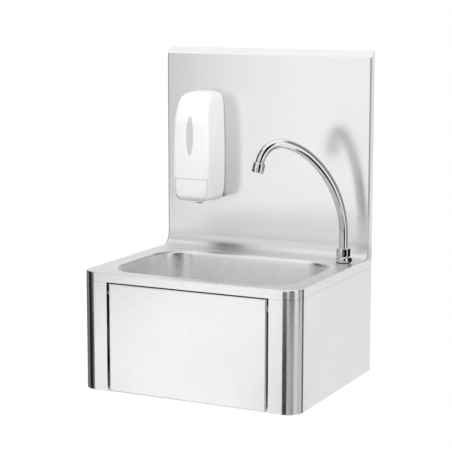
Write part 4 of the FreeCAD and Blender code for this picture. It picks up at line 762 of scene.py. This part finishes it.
@dataclass
class Spout:
    """Swan-neck tube, its base and nut, and the nozzle at its end.

    The tube rises straight and then follows arcs, each a radius and the degrees that it turns.
    """

    x: float = 170.0
    y: float = -60.0
    turn: float = 229.1
    foot_z: float = 215.0
    rise_z: float = 251.2
    tube: float = 7.9
    tube_points: int = 56
    arc_step: float = 1.5
    arcs: tuple[tuple[float, float], ...] = ((182.0, 51.7), (118.5, 24.2), (38.6, 90.0))
    tip: float = 8.0
    gasket_z: float = 205.0
    base_radius: float = 13.0
    base_top: float = 214.0
    neck_radius: float = 9.8
    neck: float = 8.0
    nut_across: float = 23.0
    nut_top: float = 230.0
    nut_turn: float = -7.35
    nut_corner: float = 1.105
    nut_points: int = 240
    nozzle_radius: float = 10.4
    nozzle_from: float = 2.0
    nozzle_to: float = 19.0

    def path(self) -> tuple[list[Vector], list[Vector]]:
        """Follow the tube's middle in its own plane, turned about the base.

        Returns:
            Points along it, and the way it heads at each.
        """
        reach, z, lean = 0.0, self.rise_z, 0.0
        spots = [(0.0, self.foot_z, 0.0), (0.0, (self.foot_z + self.rise_z) / 2, 0.0), (0.0, self.rise_z, 0.0)]
        for radius, degrees in self.arcs:
            steps = max(8, int(degrees / self.arc_step))
            start_reach, start_z, start_lean = reach, z, lean
            for k in range(1, steps + 1):
                lean = start_lean + math.radians(degrees) * k / steps
                reach = start_reach + radius * (math.cos(start_lean) - math.cos(lean))
                z = start_z + radius * (math.sin(lean) - math.sin(start_lean))
                spots.append((reach, z, lean))
        spots.append((reach + math.sin(lean) * self.tip, z + math.cos(lean) * self.tip, lean))
        heading = math.radians(self.turn)
        out = Vector((math.cos(heading), math.sin(heading), 0))
        points = [Vector((self.x, self.y, 0)) + out * r + Vector((0, 0, h)) for r, h, _ in spots]
        ways = [out * math.sin(a) + Vector((0, 0, math.cos(a))) for _, _, a in spots]
        return points, ways

    def build(self, shop: Workshop) -> None:
        """Build the tube and what sits on it.

        Args:
            shop: where the pieces are dressed.
        """
        self.build_tube(shop)
        self.build_base(shop)
        self.build_nut(shop)
        self.build_nozzle(shop)

    def build_tube(self, shop: Workshop) -> None:
        """Sweep a ring along the path.

        Args:
            shop: where the tube is dressed.
        """
        points, ways = self.path()
        heading = math.radians(self.turn)
        side = Vector((-math.sin(heading), math.cos(heading), 0))
        rings = []
        for point, way in zip(points, ways):
            over = side.cross(way)
            ring = [
                point + (side * math.cos(a) + over * math.sin(a)) * self.tube for a in turn_angles(self.tube_points)
            ]
            rings.append(np.array(ring))
        piece = loft("swan_neck_tube", rings, closed=True)
        weld(piece)
        crisp(piece, SWEPT_EDGE)
        shop.place(piece, "spout", "spout_tube")

    def build_base(self, shop: Workshop) -> None:
        """Turn the base ring with its neck.

        Args:
            shop: where the ring is dressed.
        """
        r, low, high, neck = self.base_radius, self.gasket_z, self.base_top, self.neck_radius
        profile = [
            (self.tube + 0.3, low), (r - 0.6, low), (r - 0.15, low + 0.2), (r, low + 0.7), (r, high - 2.2),
            (r - 0.25, high - 1.2), (r - 0.9, high - 0.4), (r - 1.8, high), (neck + 0.2, high), (neck, high + 0.2),
            (neck, high + self.neck), (self.tube + 0.3, high + self.neck),
        ]
        piece = turned("spout_base_ring", profile)
        piece.data.transform(self.foot())
        crisp(piece, PRESSED_EDGE)
        shop.place(piece, "cabinet", "spout_base")

    def foot(self) -> Matrix:
        """Move from the origin to the spout's axis."""
        return Matrix.Translation(Vector((self.x, self.y, 0)) * MM)

    def build_nut(self, shop: Workshop) -> None:
        """Hexagon with its corners rounded, chamfered at its foot and domed at its top.

        Args:
            shop: where the nut is dressed.
        """
        low, high = self.base_top, self.nut_top
        flat, bore = self.nut_across / 2, self.tube + 0.15
        angles = turn_angles(self.nut_points)
        within = (angles + math.pi / 6) % (math.pi / 3) - math.pi / 6
        hexagon, corner = flat / np.cos(within), flat * self.nut_corner
        limit = -np.log(np.exp(-hexagon * 4) + np.exp(-corner * 4)) / 4 + 0.04
        rings = [level_ring(bore, angles, low)]
        for t in (0.0, 0.1, 0.3, 0.6, 1.0, 1.5, 2.1, 3.0, 5.5):
            chamfer = flat - 0.9 + t * 1.35
            rings.append(level_ring(np.minimum(limit, chamfer), angles, low + t))
        for t in (6.5, 4.5, 3.4, 2.6, 1.9, 1.3, 0.8, 0.45, 0.2, 0.06, 0.0):
            dome = flat - 2.4 + math.sqrt(max(0.0, 1 - (1 - min(t, 2.8) / 2.8) ** 2)) * 3.8
            rings.append(level_ring(np.minimum(limit, dome), angles, high - t))
        rings += [level_ring(bore, angles, high), rings[0]]
        piece = loft("spout_hex_nut", rings)
        weld(piece)
        piece.data.transform(self.foot() @ Matrix.Rotation(math.radians(self.nut_turn), 4, "Z"))
        crisp(piece, TURNED_EDGE)
        shop.place(piece, "cabinet", "spout_nut")

    def build_nozzle(self, shop: Workshop) -> None:
        """Turn the nozzle's housing, grooved near its head, and set it on the tube's end.

        Args:
            shop: where the housing is dressed.
        """
        points, ways = self.path()
        end = points[-1] - ways[-1] * self.tip
        r, low, high = self.nozzle_radius, self.nozzle_from, self.nozzle_to
        profile = [
            (self.tube + 0.05, low + 0.2), (self.tube + 0.5, low), (r - 1.9, low), (r - 0.9, low + 0.4),
            (r - 0.25, low + 1.2), (r, low + 2.2), (r, high - 5.6), (r - 0.35, high - 5.3), (r - 0.35, high - 4.9),
            (r, high - 4.6), (r, high - 1.0), (r - 0.2, high - 0.35), (r - 0.7, high), (r - 1.2, high - 0.1),
            (r - 1.4, high - 0.6), (r - 1.4, high - 9.0), (self.tube + 0.05, high - 9.0),
        ]
        piece = turned("spout_nozzle_housing", profile)
        turn = Vector((0, 0, 1)).rotation_difference(ways[-1]).to_matrix().to_4x4()
        piece.data.transform(Matrix.Translation(end * MM) @ turn)
        crisp(piece, TURNED_EDGE)
        shop.place(piece, "spout", "spout_nozzle")


# ------------------------------------------------------------------ soap dispenser


class Axis(Enum):
    """Way a plane faces that splits a skin."""

    ACROSS = (1.0, 0.0, 0.0)
    DEEP = (0.0, 1.0, 0.0)
    UP = (0.0, 0.0, 1.0)


@dataclass
class SoapDispenser:
    """Moulded cover, level window and push bar, cut from one rounded form.

    The form is a side outline met by a round crown and by flanks that bulge, all blended by rounded ridges. Each span
    is the height where a change along the ridges starts and the length that it takes.
    """

    x: float = -116.0
    front: float = -93.0
    back: float = -16.3
    low: float = 296.0
    high: float = 495.0
    half: float = 33.0
    ridge: float = 7.5
    crown_ridge: float = 3.0
    crown_span: tuple[float, float] = (430.0, 45.0)
    crown: float = 45.0
    crown_rise: float = 0.6
    brow: tuple[float, float] = (60.0, 98.0)
    brow_power: float = 2.5
    blend: float = 3.0
    lean: float = 1.5
    lean_span: tuple[float, float] = (425.0, 60.0)
    toe_edge: float = 12.0
    toe_span: tuple[float, float] = (318.0, 18.0)
    bow: float = 2.2
    wall: float = 1.4
    seam_z: float = 338.0
    seam_y: float = -85.5
    gap: float = 0.6
    tuck: float = 2.0
    wing_y: float = -72.0
    slot_half: float = 14.0
    slot_y: float = -62.0
    slot_z: float = 300.0
    hinge_half: float = 30.2
    hinge_y: float = -33.3
    hinge_z: float = 309.0
    window_z: float = 415.0
    window_half: tuple[float, float] = (6.75, 35.0)
    window_cut: tuple[float, float] = (-13.0, 17.0)
    window_points: int = 96
    pane: float = 1.3
    spine_y: float = -49.0
    spine_low: float = 330.0
    spine_high: float = 458.0
    spine_rows: int = 76
    foot_rows: int = 40
    crown_rows: int = 50
    pole: float = 88.5
    around: int = 240
    far: float = 150.0
    side_lines: Points = field(init=False)
    width_circle: tuple[float, float, float] = field(init=False)

    def __post_init__(self) -> None:
        """Work out the side outline's edges and the circle that the flanks follow."""
        face, low, high, back = self.front, self.low, self.high, self.back
        outline = np.concatenate(
            [
                [(back, low + 12.0), (back, high - 2.0)],
                self.brow_line(),
                arc((face, high - self.brow[1]), (face + 0.1, 352.0), (face + 0.6, low + 12.0), 24)[1:],
                arc((face + 0.6, low + 12.0), (face + 3.6, low + 3.4), (face + 12.0, low), 12)[1:],
                arc((back - 12.0, low), (back - 3.5, low + 3.5), (back, low + 12.0), 12)[:-1],
            ]
        )
        after = np.roll(outline, -1, axis=0)
        way = after - outline
        normal = np.stack([way[:, 1], -way[:, 0]], 1) / np.linalg.norm(way, axis=1)[:, None]
        self.side_lines = np.column_stack([normal, (normal * outline).sum(1)])
        centre, radius = circle_through(np.array([33.5, 305.0]), np.array([35.5, 390.0]), np.array([31.0, 480.0]))
        self.width_circle = (float(centre[0]), float(centre[1]), radius)

    def brow_line(self) -> Points:
        """Draw the front's upper outline, a superellipse that starts on the roof and ends upright on the face.

        Returns:
            One row of Y and Z for each point.
        """
        t = np.cos(np.linspace(0.0, math.pi / 2, 60)) ** 0.8
        back = self.brow[0] * (1 - (1 - t**self.brow_power) ** (1 / self.brow_power))
        return np.column_stack([self.front + back, self.high - self.brow[1] * (1 - t)])

    def depth_outside(self, points: Points) -> Points:
        """How far points lie outside the form, below zero inside.

        Args:
            points: rows of X, Y and Z.

        Returns:
            One distance per row.
        """
        x, z = points[:, 0] - self.x, points[:, 2]
        y = points[:, 1] - self.bow * (x / self.half) ** 2
        side = (np.stack([y, z], 1) @ self.side_lines[:, :2].T - self.side_lines[:, 2]).max(1)
        share = np.clip((self.back - points[:, 1]) / (self.back - self.front), 0.0, 1.0)
        roof = np.hypot(x, z - (self.high + self.crown_rise - self.crown)) - self.crown
        roof = np.where(z > self.high - self.crown, roof, FAR_INSIDE)
        near = np.maximum(self.blend - np.abs(side - roof), 0.0) / self.blend
        body = np.maximum(side, roof) + near * near * self.blend / 4
        cx, cz, radius = self.width_circle
        start, length = self.lean_span
        wide = np.abs(x) + self.lean * share * np.clip((z - start) / length, 0.0, 1.2) ** 2
        flank = np.hypot(wide - cx, z - cz) - radius
        flank = np.where(wide > cx, flank, FAR_INSIDE)
        start, length = self.crown_span
        r = self.ridge - (self.ridge - self.crown_ridge) * np.clip((z - start) / length, 0.0, 1.0)
        start, length = self.toe_span
        r = r + (self.toe_edge - self.ridge) * np.clip((start - z) / length, 0.0, 1.0)
        corner = np.minimum(np.maximum(flank + r, body + r), 0.0) + np.hypot(
            np.maximum(flank + r, 0.0), np.maximum(body + r, 0.0)
        ) - r
        return np.maximum(corner, points[:, 1] - self.back)

    def cast(self, origin: Points, heading: Points, tuck: float = 0.0) -> Points:
        """Find where rays from inside leave the form.

        Args:
            origin: one starting point per row.
            heading: one unit vector per row.
            tuck: how far the form's flanks and foot are drawn in, but not its face.

        Returns:
            The point on the surface for each row.
        """
        near, far = np.zeros(len(origin)), np.full(len(origin), self.far)
        for _ in range(HALVINGS):
            middle = (near + far) / 2
            at = origin + heading * middle[:, None]
            at[:, 0] += tuck * np.sign(at[:, 0] - self.x)
            at[:, 2] -= tuck
            outside = self.depth_outside(at) > 0
            far = np.where(outside, middle, far)
            near = np.where(outside, near, middle)
        return origin + heading * ((near + far) / 2)[:, None]

    def surface(self, tuck: float) -> tuple[Points, list[Sequence[int]]]:
        """Cast the closed form from a spine that stands inside it.

        Args:
            tuck: how far its flanks and foot are drawn in, but not its face.

        Returns:
            Its points and its faces.
        """
        angles = turn_angles(self.around)
        rows: list[tuple[float, float]] = []
        rows += [(self.spine_low, e) for e in np.linspace(-self.pole, 0, self.foot_rows)[:-1]]
        rows += [(z, 0.0) for z in np.linspace(self.spine_low, self.spine_high, self.spine_rows)]
        rows += [(self.spine_high, e) for e in np.linspace(0, self.pole, self.crown_rows)[1:]]
        start, way = [], []
        for z, elevation in rows:
            e = math.radians(elevation)
            start.append(np.tile([self.x, self.spine_y, z], (self.around, 1)))
            way.append(
                np.column_stack(
                    [math.cos(e) * np.sin(angles), -math.cos(e) * np.cos(angles), np.full(self.around, math.sin(e))]
                )
            )
        start.append(np.array([[self.x, self.spine_y, self.spine_low], [self.x, self.spine_y, self.spine_high]]))
        way.append(np.array([[0.0, 0.0, -1.0], [0.0, 0.0, 1.0]]))
        points = self.cast(np.concatenate(start), np.concatenate(way), tuck)
        count = self.around
        faces: list[Sequence[int]] = list(bridge(len(rows), count))
        bottom, top, last = len(rows) * count, len(rows) * count + 1, (len(rows) - 1) * count
        faces += [((j + 1) % count, j, bottom) for j in range(count)]
        faces += [(last + j, last + (j + 1) % count, top) for j in range(count)]
        return points, faces

    def skin(
        self, name: str, tuck: float, planes: Sequence[tuple[Axis, float]], keep: Callable[[Vector], bool]
    ) -> bpy.types.Object:
        """Close a shell from the part of the form's surface that is kept.

        Args:
            name: piece's name.
            tuck: how far its flanks and foot run inside the outer form's.
            planes: axis and place of each plane where the surface is split.
            keep: whether a face with its middle there, in millimetres, stays.

        Returns:
            The shell, as thick as the wall, inwards.
        """
        points, faces = self.surface(tuck)
        piece = mesh_piece(name, points, faces)
        work = bmesh.new()
        work.from_mesh(piece.data)
        bmesh.ops.recalc_face_normals(work, faces=work.faces)
        for axis, place in planes:
            way = Vector(axis.value)
            bmesh.ops.bisect_plane(
                work, geom=work.verts[:] + work.edges[:] + work.faces[:], dist=1e-6,
                plane_co=way * place * MM, plane_no=way,
            )
        gone = [f for f in work.faces if not keep(f.calc_center_median() / MM)]
        bmesh.ops.delete(work, geom=gone, context="FACES")
        bmesh.ops.remove_doubles(work, verts=work.verts, dist=0.02 * MM)
        work.to_mesh(piece.data)
        work.free()
        apply_modifier(piece, "SOLIDIFY", thickness=self.wall * MM, offset=-1.0, use_even_offset=False)
        return piece

    def build(self, shop: Workshop) -> None:
        """Build cover, window and push bar.

        Args:
            shop: where the pieces are dressed.
        """
        self.build_cover(shop)
        self.build_window(shop)
        self.build_bar(shop)

    def stays(self, at: Vector) -> bool:
        """Say whether a spot of the form's surface belongs to the cover.

        Args:
            at: the spot, in millimetres.

        Returns:
            False on the wall side, in the bar's opening, in the nozzle's slot and in the room for the hinge.
        """
        x = abs(at.x - self.x)
        if at.y > self.back - 0.05:
            return False
        if at.z < self.seam_z and at.y < self.seam_y:
            return False
        if x < self.slot_half and at.y > self.slot_y and at.z < self.slot_z:
            return False
        return not (x < self.hinge_half and at.y > self.hinge_y and at.z < self.hinge_z)

    def build_cover(self, shop: Workshop) -> None:
        """Shell open at the wall, with the bar's opening, the nozzle's slot and the window's hole.

        Args:
            shop: where the cover is dressed.
        """
        planes = [
            (Axis.UP, self.seam_z), (Axis.DEEP, self.seam_y),
            (Axis.ACROSS, self.x - self.slot_half), (Axis.ACROSS, self.x + self.slot_half), (Axis.DEEP, self.slot_y),
            (Axis.ACROSS, self.x - self.hinge_half), (Axis.ACROSS, self.x + self.hinge_half),
            (Axis.DEEP, self.hinge_y), (Axis.UP, self.hinge_z), (Axis.DEEP, self.back - 0.02),
        ]
        piece = self.skin("soap_cover_moulding", 0.0, planes, self.stays)
        ends = [self.window_ring(1.0) + [0.0, self.front + cut, 0.0] for cut in self.window_cut]
        tool = loft("window_cutter", ends, closed=True)
        weld(tool)
        apply_modifier(piece, "BOOLEAN", operation="DIFFERENCE", solver="EXACT", object=tool)
        bpy.data.objects.remove(tool)
        crisp(piece, PRESSED_EDGE)
        shop.place(piece, "dispenser_cover", "dispenser_cover")

    def window_ring(self, share: float, play: float = 0.0) -> Points:
        """Ellipse of the window in the plane of Y = 0.

        Args:
            share: its size as a share of the window's.
            play: how much smaller each half axis is before that.

        Returns:
            One row of X, Y and Z for each point.
        """
        angles = turn_angles(self.window_points)
        wide, tall = (half - play for half in self.window_half)
        x, z = self.x + wide * share * np.sin(angles), self.window_z + tall * share * np.cos(angles)
        return np.column_stack([x, np.zeros(len(angles)), z])

    def build_window(self, shop: Workshop) -> None:
        """Pane that follows the front, sunk a little at its edge.

        Args:
            shop: where the pane is dressed.
        """
        rings = []
        for share in (1.0, 0.985, 0.95, 0.9, 0.8, 0.65, 0.45, 0.25, 0.04):
            ring = self.window_ring(share, 0.06) + [0.0, self.spine_y, 0.0]
            sunk = 0.35 + 0.5 * max(0.0, share - 0.9) / 0.1
            rings.append(self.cast(ring, np.tile([0.0, -1.0, 0.0], (len(ring), 1))) + [0.0, sunk, 0.0])
        back = [ring + [0.0, self.pane, 0.0] for ring in reversed(rings)]
        piece = loft("soap_level_window", rings + back)
        work = bmesh.new()
        work.from_mesh(piece.data)
        bmesh.ops.bridge_loops(work, edges=[e for e in work.edges if e.is_boundary])
        work.to_mesh(piece.data)
        work.free()
        weld(piece)
        crisp(piece, PRESSED_EDGE)
        shop.place(piece, "dispenser_cover", "level_window")

    def build_bar(self, shop: Workshop) -> None:
        """Bar whose wings and foot slide inside the cover's cheeks when it is pushed.

        Args:
            shop: where the bar is dressed.
        """
        top_z = self.seam_z - self.gap
        piece = self.skin(
            "soap_push_bar", self.tuck, [(Axis.UP, top_z), (Axis.DEEP, self.wing_y)],
            lambda at: at.z < top_z and at.y < self.wing_y,
        )
        crisp(piece, PRESSED_EDGE)
        shop.place(piece, "push_bar", "push_bar")


# ------------------------------------------------------------------ studio and camera


@dataclass(frozen=True)
class Card:
    """A band of graded studio cards on a far sphere about the sink, seen only in reflections.

    Tones are stops of azimuth in degrees and grey. Light that has been mirrored several times meets a brighter and
    more even grey, which is a choice of this studio: it keeps the bowl and the lower backsplash from going dark.
    """

    name: str
    elevation: tuple[float, float]
    tones: tuple[tuple[float, float], ...]
    even_share: float = 0.85
    even_bounces: tuple[float, float] = (1.0, 3.0)
    even_grey: tuple[float, float] = (1.2, 2.8)
    grey_bounces: tuple[float, float] = (2.0, 5.0)
    radius: float = 4.0
    step: float = 1.5
    rows: int = 12

    def build(self, ambient: float) -> None:
        """Grid in the sphere, its grey running evenly between the stops of azimuth and grey.

        Args:
            ambient: grey that stands for the band where light has already met a matt surface.
        """
        stops, greys = zip(*self.tones)
        columns = int((stops[-1] - stops[0]) / self.step) + 1
        turns = np.linspace(stops[0], stops[-1], columns)
        reach = self.radius / MM
        around, forward, up = SINK_MIDDLE
        points = [
            (
                around + math.sin(a) * math.cos(e) * reach,
                forward - math.cos(a) * math.cos(e) * reach,
                up + math.sin(e) * reach,
            )
            for e in np.radians(np.linspace(*self.elevation, self.rows))
            for a in np.radians(turns)
        ]
        card = mesh_piece(self.name, np.array(points), bridge(self.rows, columns, wrap=False))
        tones = card.data.color_attributes.new("tone", "FLOAT_COLOR", "POINT")
        grey = np.tile(np.interp(turns, stops, greys), self.rows)
        tones.data.foreach_set("color", np.column_stack([grey, grey, grey, np.ones(len(grey))]).ravel())
        card.data.materials.append(self.paint(ambient))
        card.visible_camera = card.visible_diffuse = card.visible_transmission = card.visible_shadow = False

    def paint(self, ambient: float) -> bpy.types.Material:
        """Make the band's glow, which is its grey at the first mirroring and evens out at later ones.

        Args:
            ambient: grey that stands for the band where light has already met a matt surface.

        Returns:
            The material.
        """
        material, tree = blank_material(self.name)
        rays = add_node(tree, "ShaderNodeLightPath")
        bounces = rays.outputs["Glossy Depth"]
        tone = add_node(tree, "ShaderNodeVertexColor", layer_name="tone")
        first, last = self.even_bounces
        share = add_node(
            tree,
            "ShaderNodeMapRange",
            {"Value": bounces, "From Min": first, "From Max": last, "To Max": self.even_share},
        )
        first, last = self.grey_bounces
        least, most = self.even_grey
        even = add_node(
            tree,
            "ShaderNodeMapRange",
            {"Value": bounces, "From Min": first, "From Max": last, "To Min": least, "To Max": most},
        )
        eased = add_node(
            tree,
            "ShaderNodeMix",
            {0: share.outputs[0], 6: tone.outputs[0], 7: even.outputs[0]},
            data_type="RGBA",
        )
        shown = add_node(
            tree,
            "ShaderNodeMix",
            {0: rays.outputs["Diffuse Depth"], 6: eased.outputs[2], 7: (ambient,) * 3 + (1.0,)},
            data_type="RGBA",
        )
        glow = add_node(tree, "ShaderNodeEmission", {"Color": shown.outputs[2]})
        add_node(tree, "ShaderNodeOutputMaterial", {"Surface": glow.outputs[0]})
        return material


@dataclass
class Studio:
    """White surround, pale floor well below the wall-hung sink, soft lamps and graded cards.

    Lamps have a name, a place and watts. They, the floor and its fade are in metres.
    """

    ambient: float = 0.9
    lamps: tuple[tuple[str, tuple[float, float, float], float], ...] = (
        ("soft_lamp", (-1.5, -2.2, 2.2), 11.0),
        ("fill_lamp", (2.7, -0.9, 1.5), 34.0),
    )
    lamp_size: float = 1.6
    floor_z: float = -0.65
    floor_radius: float = 1.0
    floor_fade: float = 0.6
    cards: tuple[Card, ...] = (
        Card(
            "cards_deep",
            (-60.0, -22.0),
            (
                (-180, 1.1), (-126, 0.8), (-122, 0.0), (-108, 0.0), (-104, 0.4), (-88, 0.4), (-80, 0.0), (-56, 0.0),
                (-50, 0.3), (-37, 0.8), (-22, 1.3), (-18, 1.2), (-16, 0.0), (10, 0.0), (14, 1.1), (24, 1.1), (27, 0.0),
                (63, 0.0), (66, 1.3), (88, 1.3), (94, 0.0), (106, 0.0), (110, 0.7), (126, 0.6), (132, 0.0),
                (146, 0.0), (151, 1.1), (180, 1.4),
            ),
        ),
        Card(
            "cards_low",
            (-22.0, -12.5),
            (
                (-180, 1.1), (-138, 0.7), (-126, 0.2), (-110, 0.1), (-102, 0.25), (-88, 0.25), (-70, 0.0), (-40, 0.0),
                (-37, 1.0), (-33, 1.3), (-31, 1.42), (-22, 1.48), (-18.5, 1.4), (-17, 0.0), (12, 0.0), (17, 0.6),
                (40, 0.7), (44, 0.56), (56, 0.56), (60, 0.78), (129, 0.78), (133, 0.0), (149, 0.0), (150, 1.6),
                (152, 1.45), (156, 1.0), (180, 1.0),
            ),
        ),
        Card(
            "cards_middle",
            (-12.5, 14.0),
            (
                (-180, 1.02), (-145, 1.0), (-126, 0.8), (-122, 0.0), (-108, 0.0), (-104, 0.4), (-88, 0.4), (-80, 0.0),
                (-56, 0.0), (-50, 0.2), (-38, 0.4), (-33, 0.72), (-28, 1.25), (-15, 1.42), (-12, 0.4), (6, 0.4),
                (12, 1.1), (24, 1.1), (27, 0.0), (63, 0.0), (66, 1.3), (88, 1.3), (94, 0.0), (106, 0.0), (110, 0.7),
                (126, 0.6), (132, 0.0), (146, 0.0), (149, 1.4), (152, 1.3), (156, 0.97), (180, 1.0),
            ),
        ),
        Card(
            "cards_high",
            (14.0, 50.0),
            (
                (-180, 1.15), (-126, 0.9), (-122, 0.0), (-108, 0.0), (-104, 0.4), (-88, 0.4), (-80, 0.0), (-56, 0.0),
                (-48, 0.9), (-20, 1.1), (4, 0.9), (24, 1.1), (27, 0.0), (63, 0.0), (66, 1.2), (88, 1.2), (94, 0.0),
                (106, 0.0), (110, 0.7), (126, 0.6), (132, 0.0), (144, 0.0), (148, 1.1), (180, 1.1),
            ),
        ),
        Card("cards_roof", (50.0, 89.5), ((-180, 1.3), (180, 1.3))),
    )

    def build(self) -> None:
        """Set the world, floor, lamps and cards."""
        self.build_world()
        self.build_floor()
        self.build_lamps()
        for card in self.cards:
            card.build(self.ambient)
        LOG.info("studio: %d bands of cards", len(self.cards))

    def build_world(self) -> None:
        """White to the camera and in reflections, a little less as light on the sink."""
        world = bpy.data.worlds.new("studio")
        bpy.context.scene.world = world
        world.use_nodes = True
        tree = world.node_tree
        tree.nodes.clear()
        rays = add_node(tree, "ShaderNodeLightPath")
        seen = add_node(
            tree,
            "ShaderNodeMath",
            {0: rays.outputs["Is Camera Ray"], 1: rays.outputs["Is Glossy Ray"]},
            operation="MAXIMUM",
        )
        seen = add_node(
            tree, "ShaderNodeMath", {0: seen.outputs[0], 1: rays.outputs["Is Transmission Ray"]}, operation="MAXIMUM"
        )
        strength = add_node(
            tree, "ShaderNodeMapRange", {"Value": seen.outputs[0], "To Min": self.ambient, "To Max": 1.0}
        )
        light = add_node(tree, "ShaderNodeBackground", {"Color": (1, 1, 1, 1), "Strength": strength.outputs[0]})
        add_node(tree, "ShaderNodeOutputWorld", {"Surface": light.outputs[0]})

    def build_floor(self) -> None:
        """Matt pale disc that fades out at its rim."""
        rim = level_ring(self.floor_radius / MM, turn_angles(96), self.floor_z / MM)
        floor = mesh_piece("studio_floor", rim, [tuple(range(len(rim)))])
        material, tree = blank_material("pale_floor")
        matt = add_node(tree, "ShaderNodeBsdfPrincipled", {"Base Color": linear("#f4f4f4"), "Roughness": 0.9})
        where = add_node(tree, "ShaderNodeTexCoord")
        flat = add_node(
            tree, "ShaderNodeVectorMath", {0: where.outputs["Object"], 1: (1.0, 1.0, 0.0)}, operation="MULTIPLY"
        )
        away = add_node(tree, "ShaderNodeVectorMath", {0: flat.outputs[0]}, operation="LENGTH")
        fade = add_node(
            tree,
            "ShaderNodeMapRange",
            {"Value": away.outputs["Value"], "From Min": self.floor_fade, "From Max": self.floor_radius * 0.98},
            interpolation_type="SMOOTHSTEP",
        )
        clear = add_node(tree, "ShaderNodeBsdfTransparent")
        mixed = add_node(
            tree, "ShaderNodeMixShader", {0: fade.outputs[0], 1: matt.outputs[0], 2: clear.outputs[0]}
        )
        add_node(tree, "ShaderNodeOutputMaterial", {"Surface": mixed.outputs[0]})
        floor.data.materials.append(material)

    def build_lamps(self) -> None:
        """Soft lamps at the upper left and the right, kept out of the metal's reflections."""
        for name, place, power in self.lamps:
            lamp = bpy.data.lights.new(name, "AREA")
            lamp.shape, lamp.size, lamp.energy = "DISK", self.lamp_size, power
            thing = bpy.data.objects.new(name, lamp)
            thing.location = place
            aim = Vector(SINK_MIDDLE) * MM - thing.location
            thing.rotation_euler = aim.to_track_quat("-Z", "Y").to_euler()
            thing.visible_glossy = False
            bpy.context.scene.collection.objects.link(thing)


@dataclass
class PhotoCamera:
    """Camera that sees the sink as the photograph does: angles in degrees, distance in metres, shift in mm."""

    azimuth: float = 26.08
    elevation: float = 9.10
    roll: float = 0.08
    lens: float = 119.0
    distance: float = 2.589
    shift: tuple[float, float] = (-12.56, -30.56)
    sensor: float = 36.0

    def build(self) -> None:
        """Place the camera and make it the scene's."""
        az, el = math.radians(self.azimuth), math.radians(self.elevation)
        back = Vector((math.sin(az) * math.cos(el), -math.cos(az) * math.cos(el), math.sin(el)))
        right = Vector((math.cos(az), math.sin(az), 0.0))
        up = back.cross(right)
        spot = Vector(SINK_MIDDLE) * MM + back * self.distance
        spot += (right * self.shift[0] + up * self.shift[1]) * MM
        turn = Matrix((right, up, back)).transposed().to_4x4()
        data = bpy.data.cameras.new("photo_camera")
        data.lens, data.sensor_width = self.lens, self.sensor
        camera = bpy.data.objects.new("photo_camera", data)
        camera.matrix_world = Matrix.Translation(spot) @ turn @ Matrix.Rotation(math.radians(self.roll), 4, "Z")
        bpy.context.scene.collection.objects.link(camera)
        bpy.context.scene.camera = camera


def main() -> None:
    """Build everything in order."""
    logging.basicConfig(level=logging.INFO, format="%(name)s: %(message)s")
    bpy.context.scene.view_settings.view_transform = "Standard"
    shop = Workshop()
    shop.dress_nodes()
    Bowl().build(shop)
    Spout().build(shop)
    SoapDispenser().build(shop)
    Studio().build()
    PhotoCamera().build()


if __name__ == "__main__":
    main()
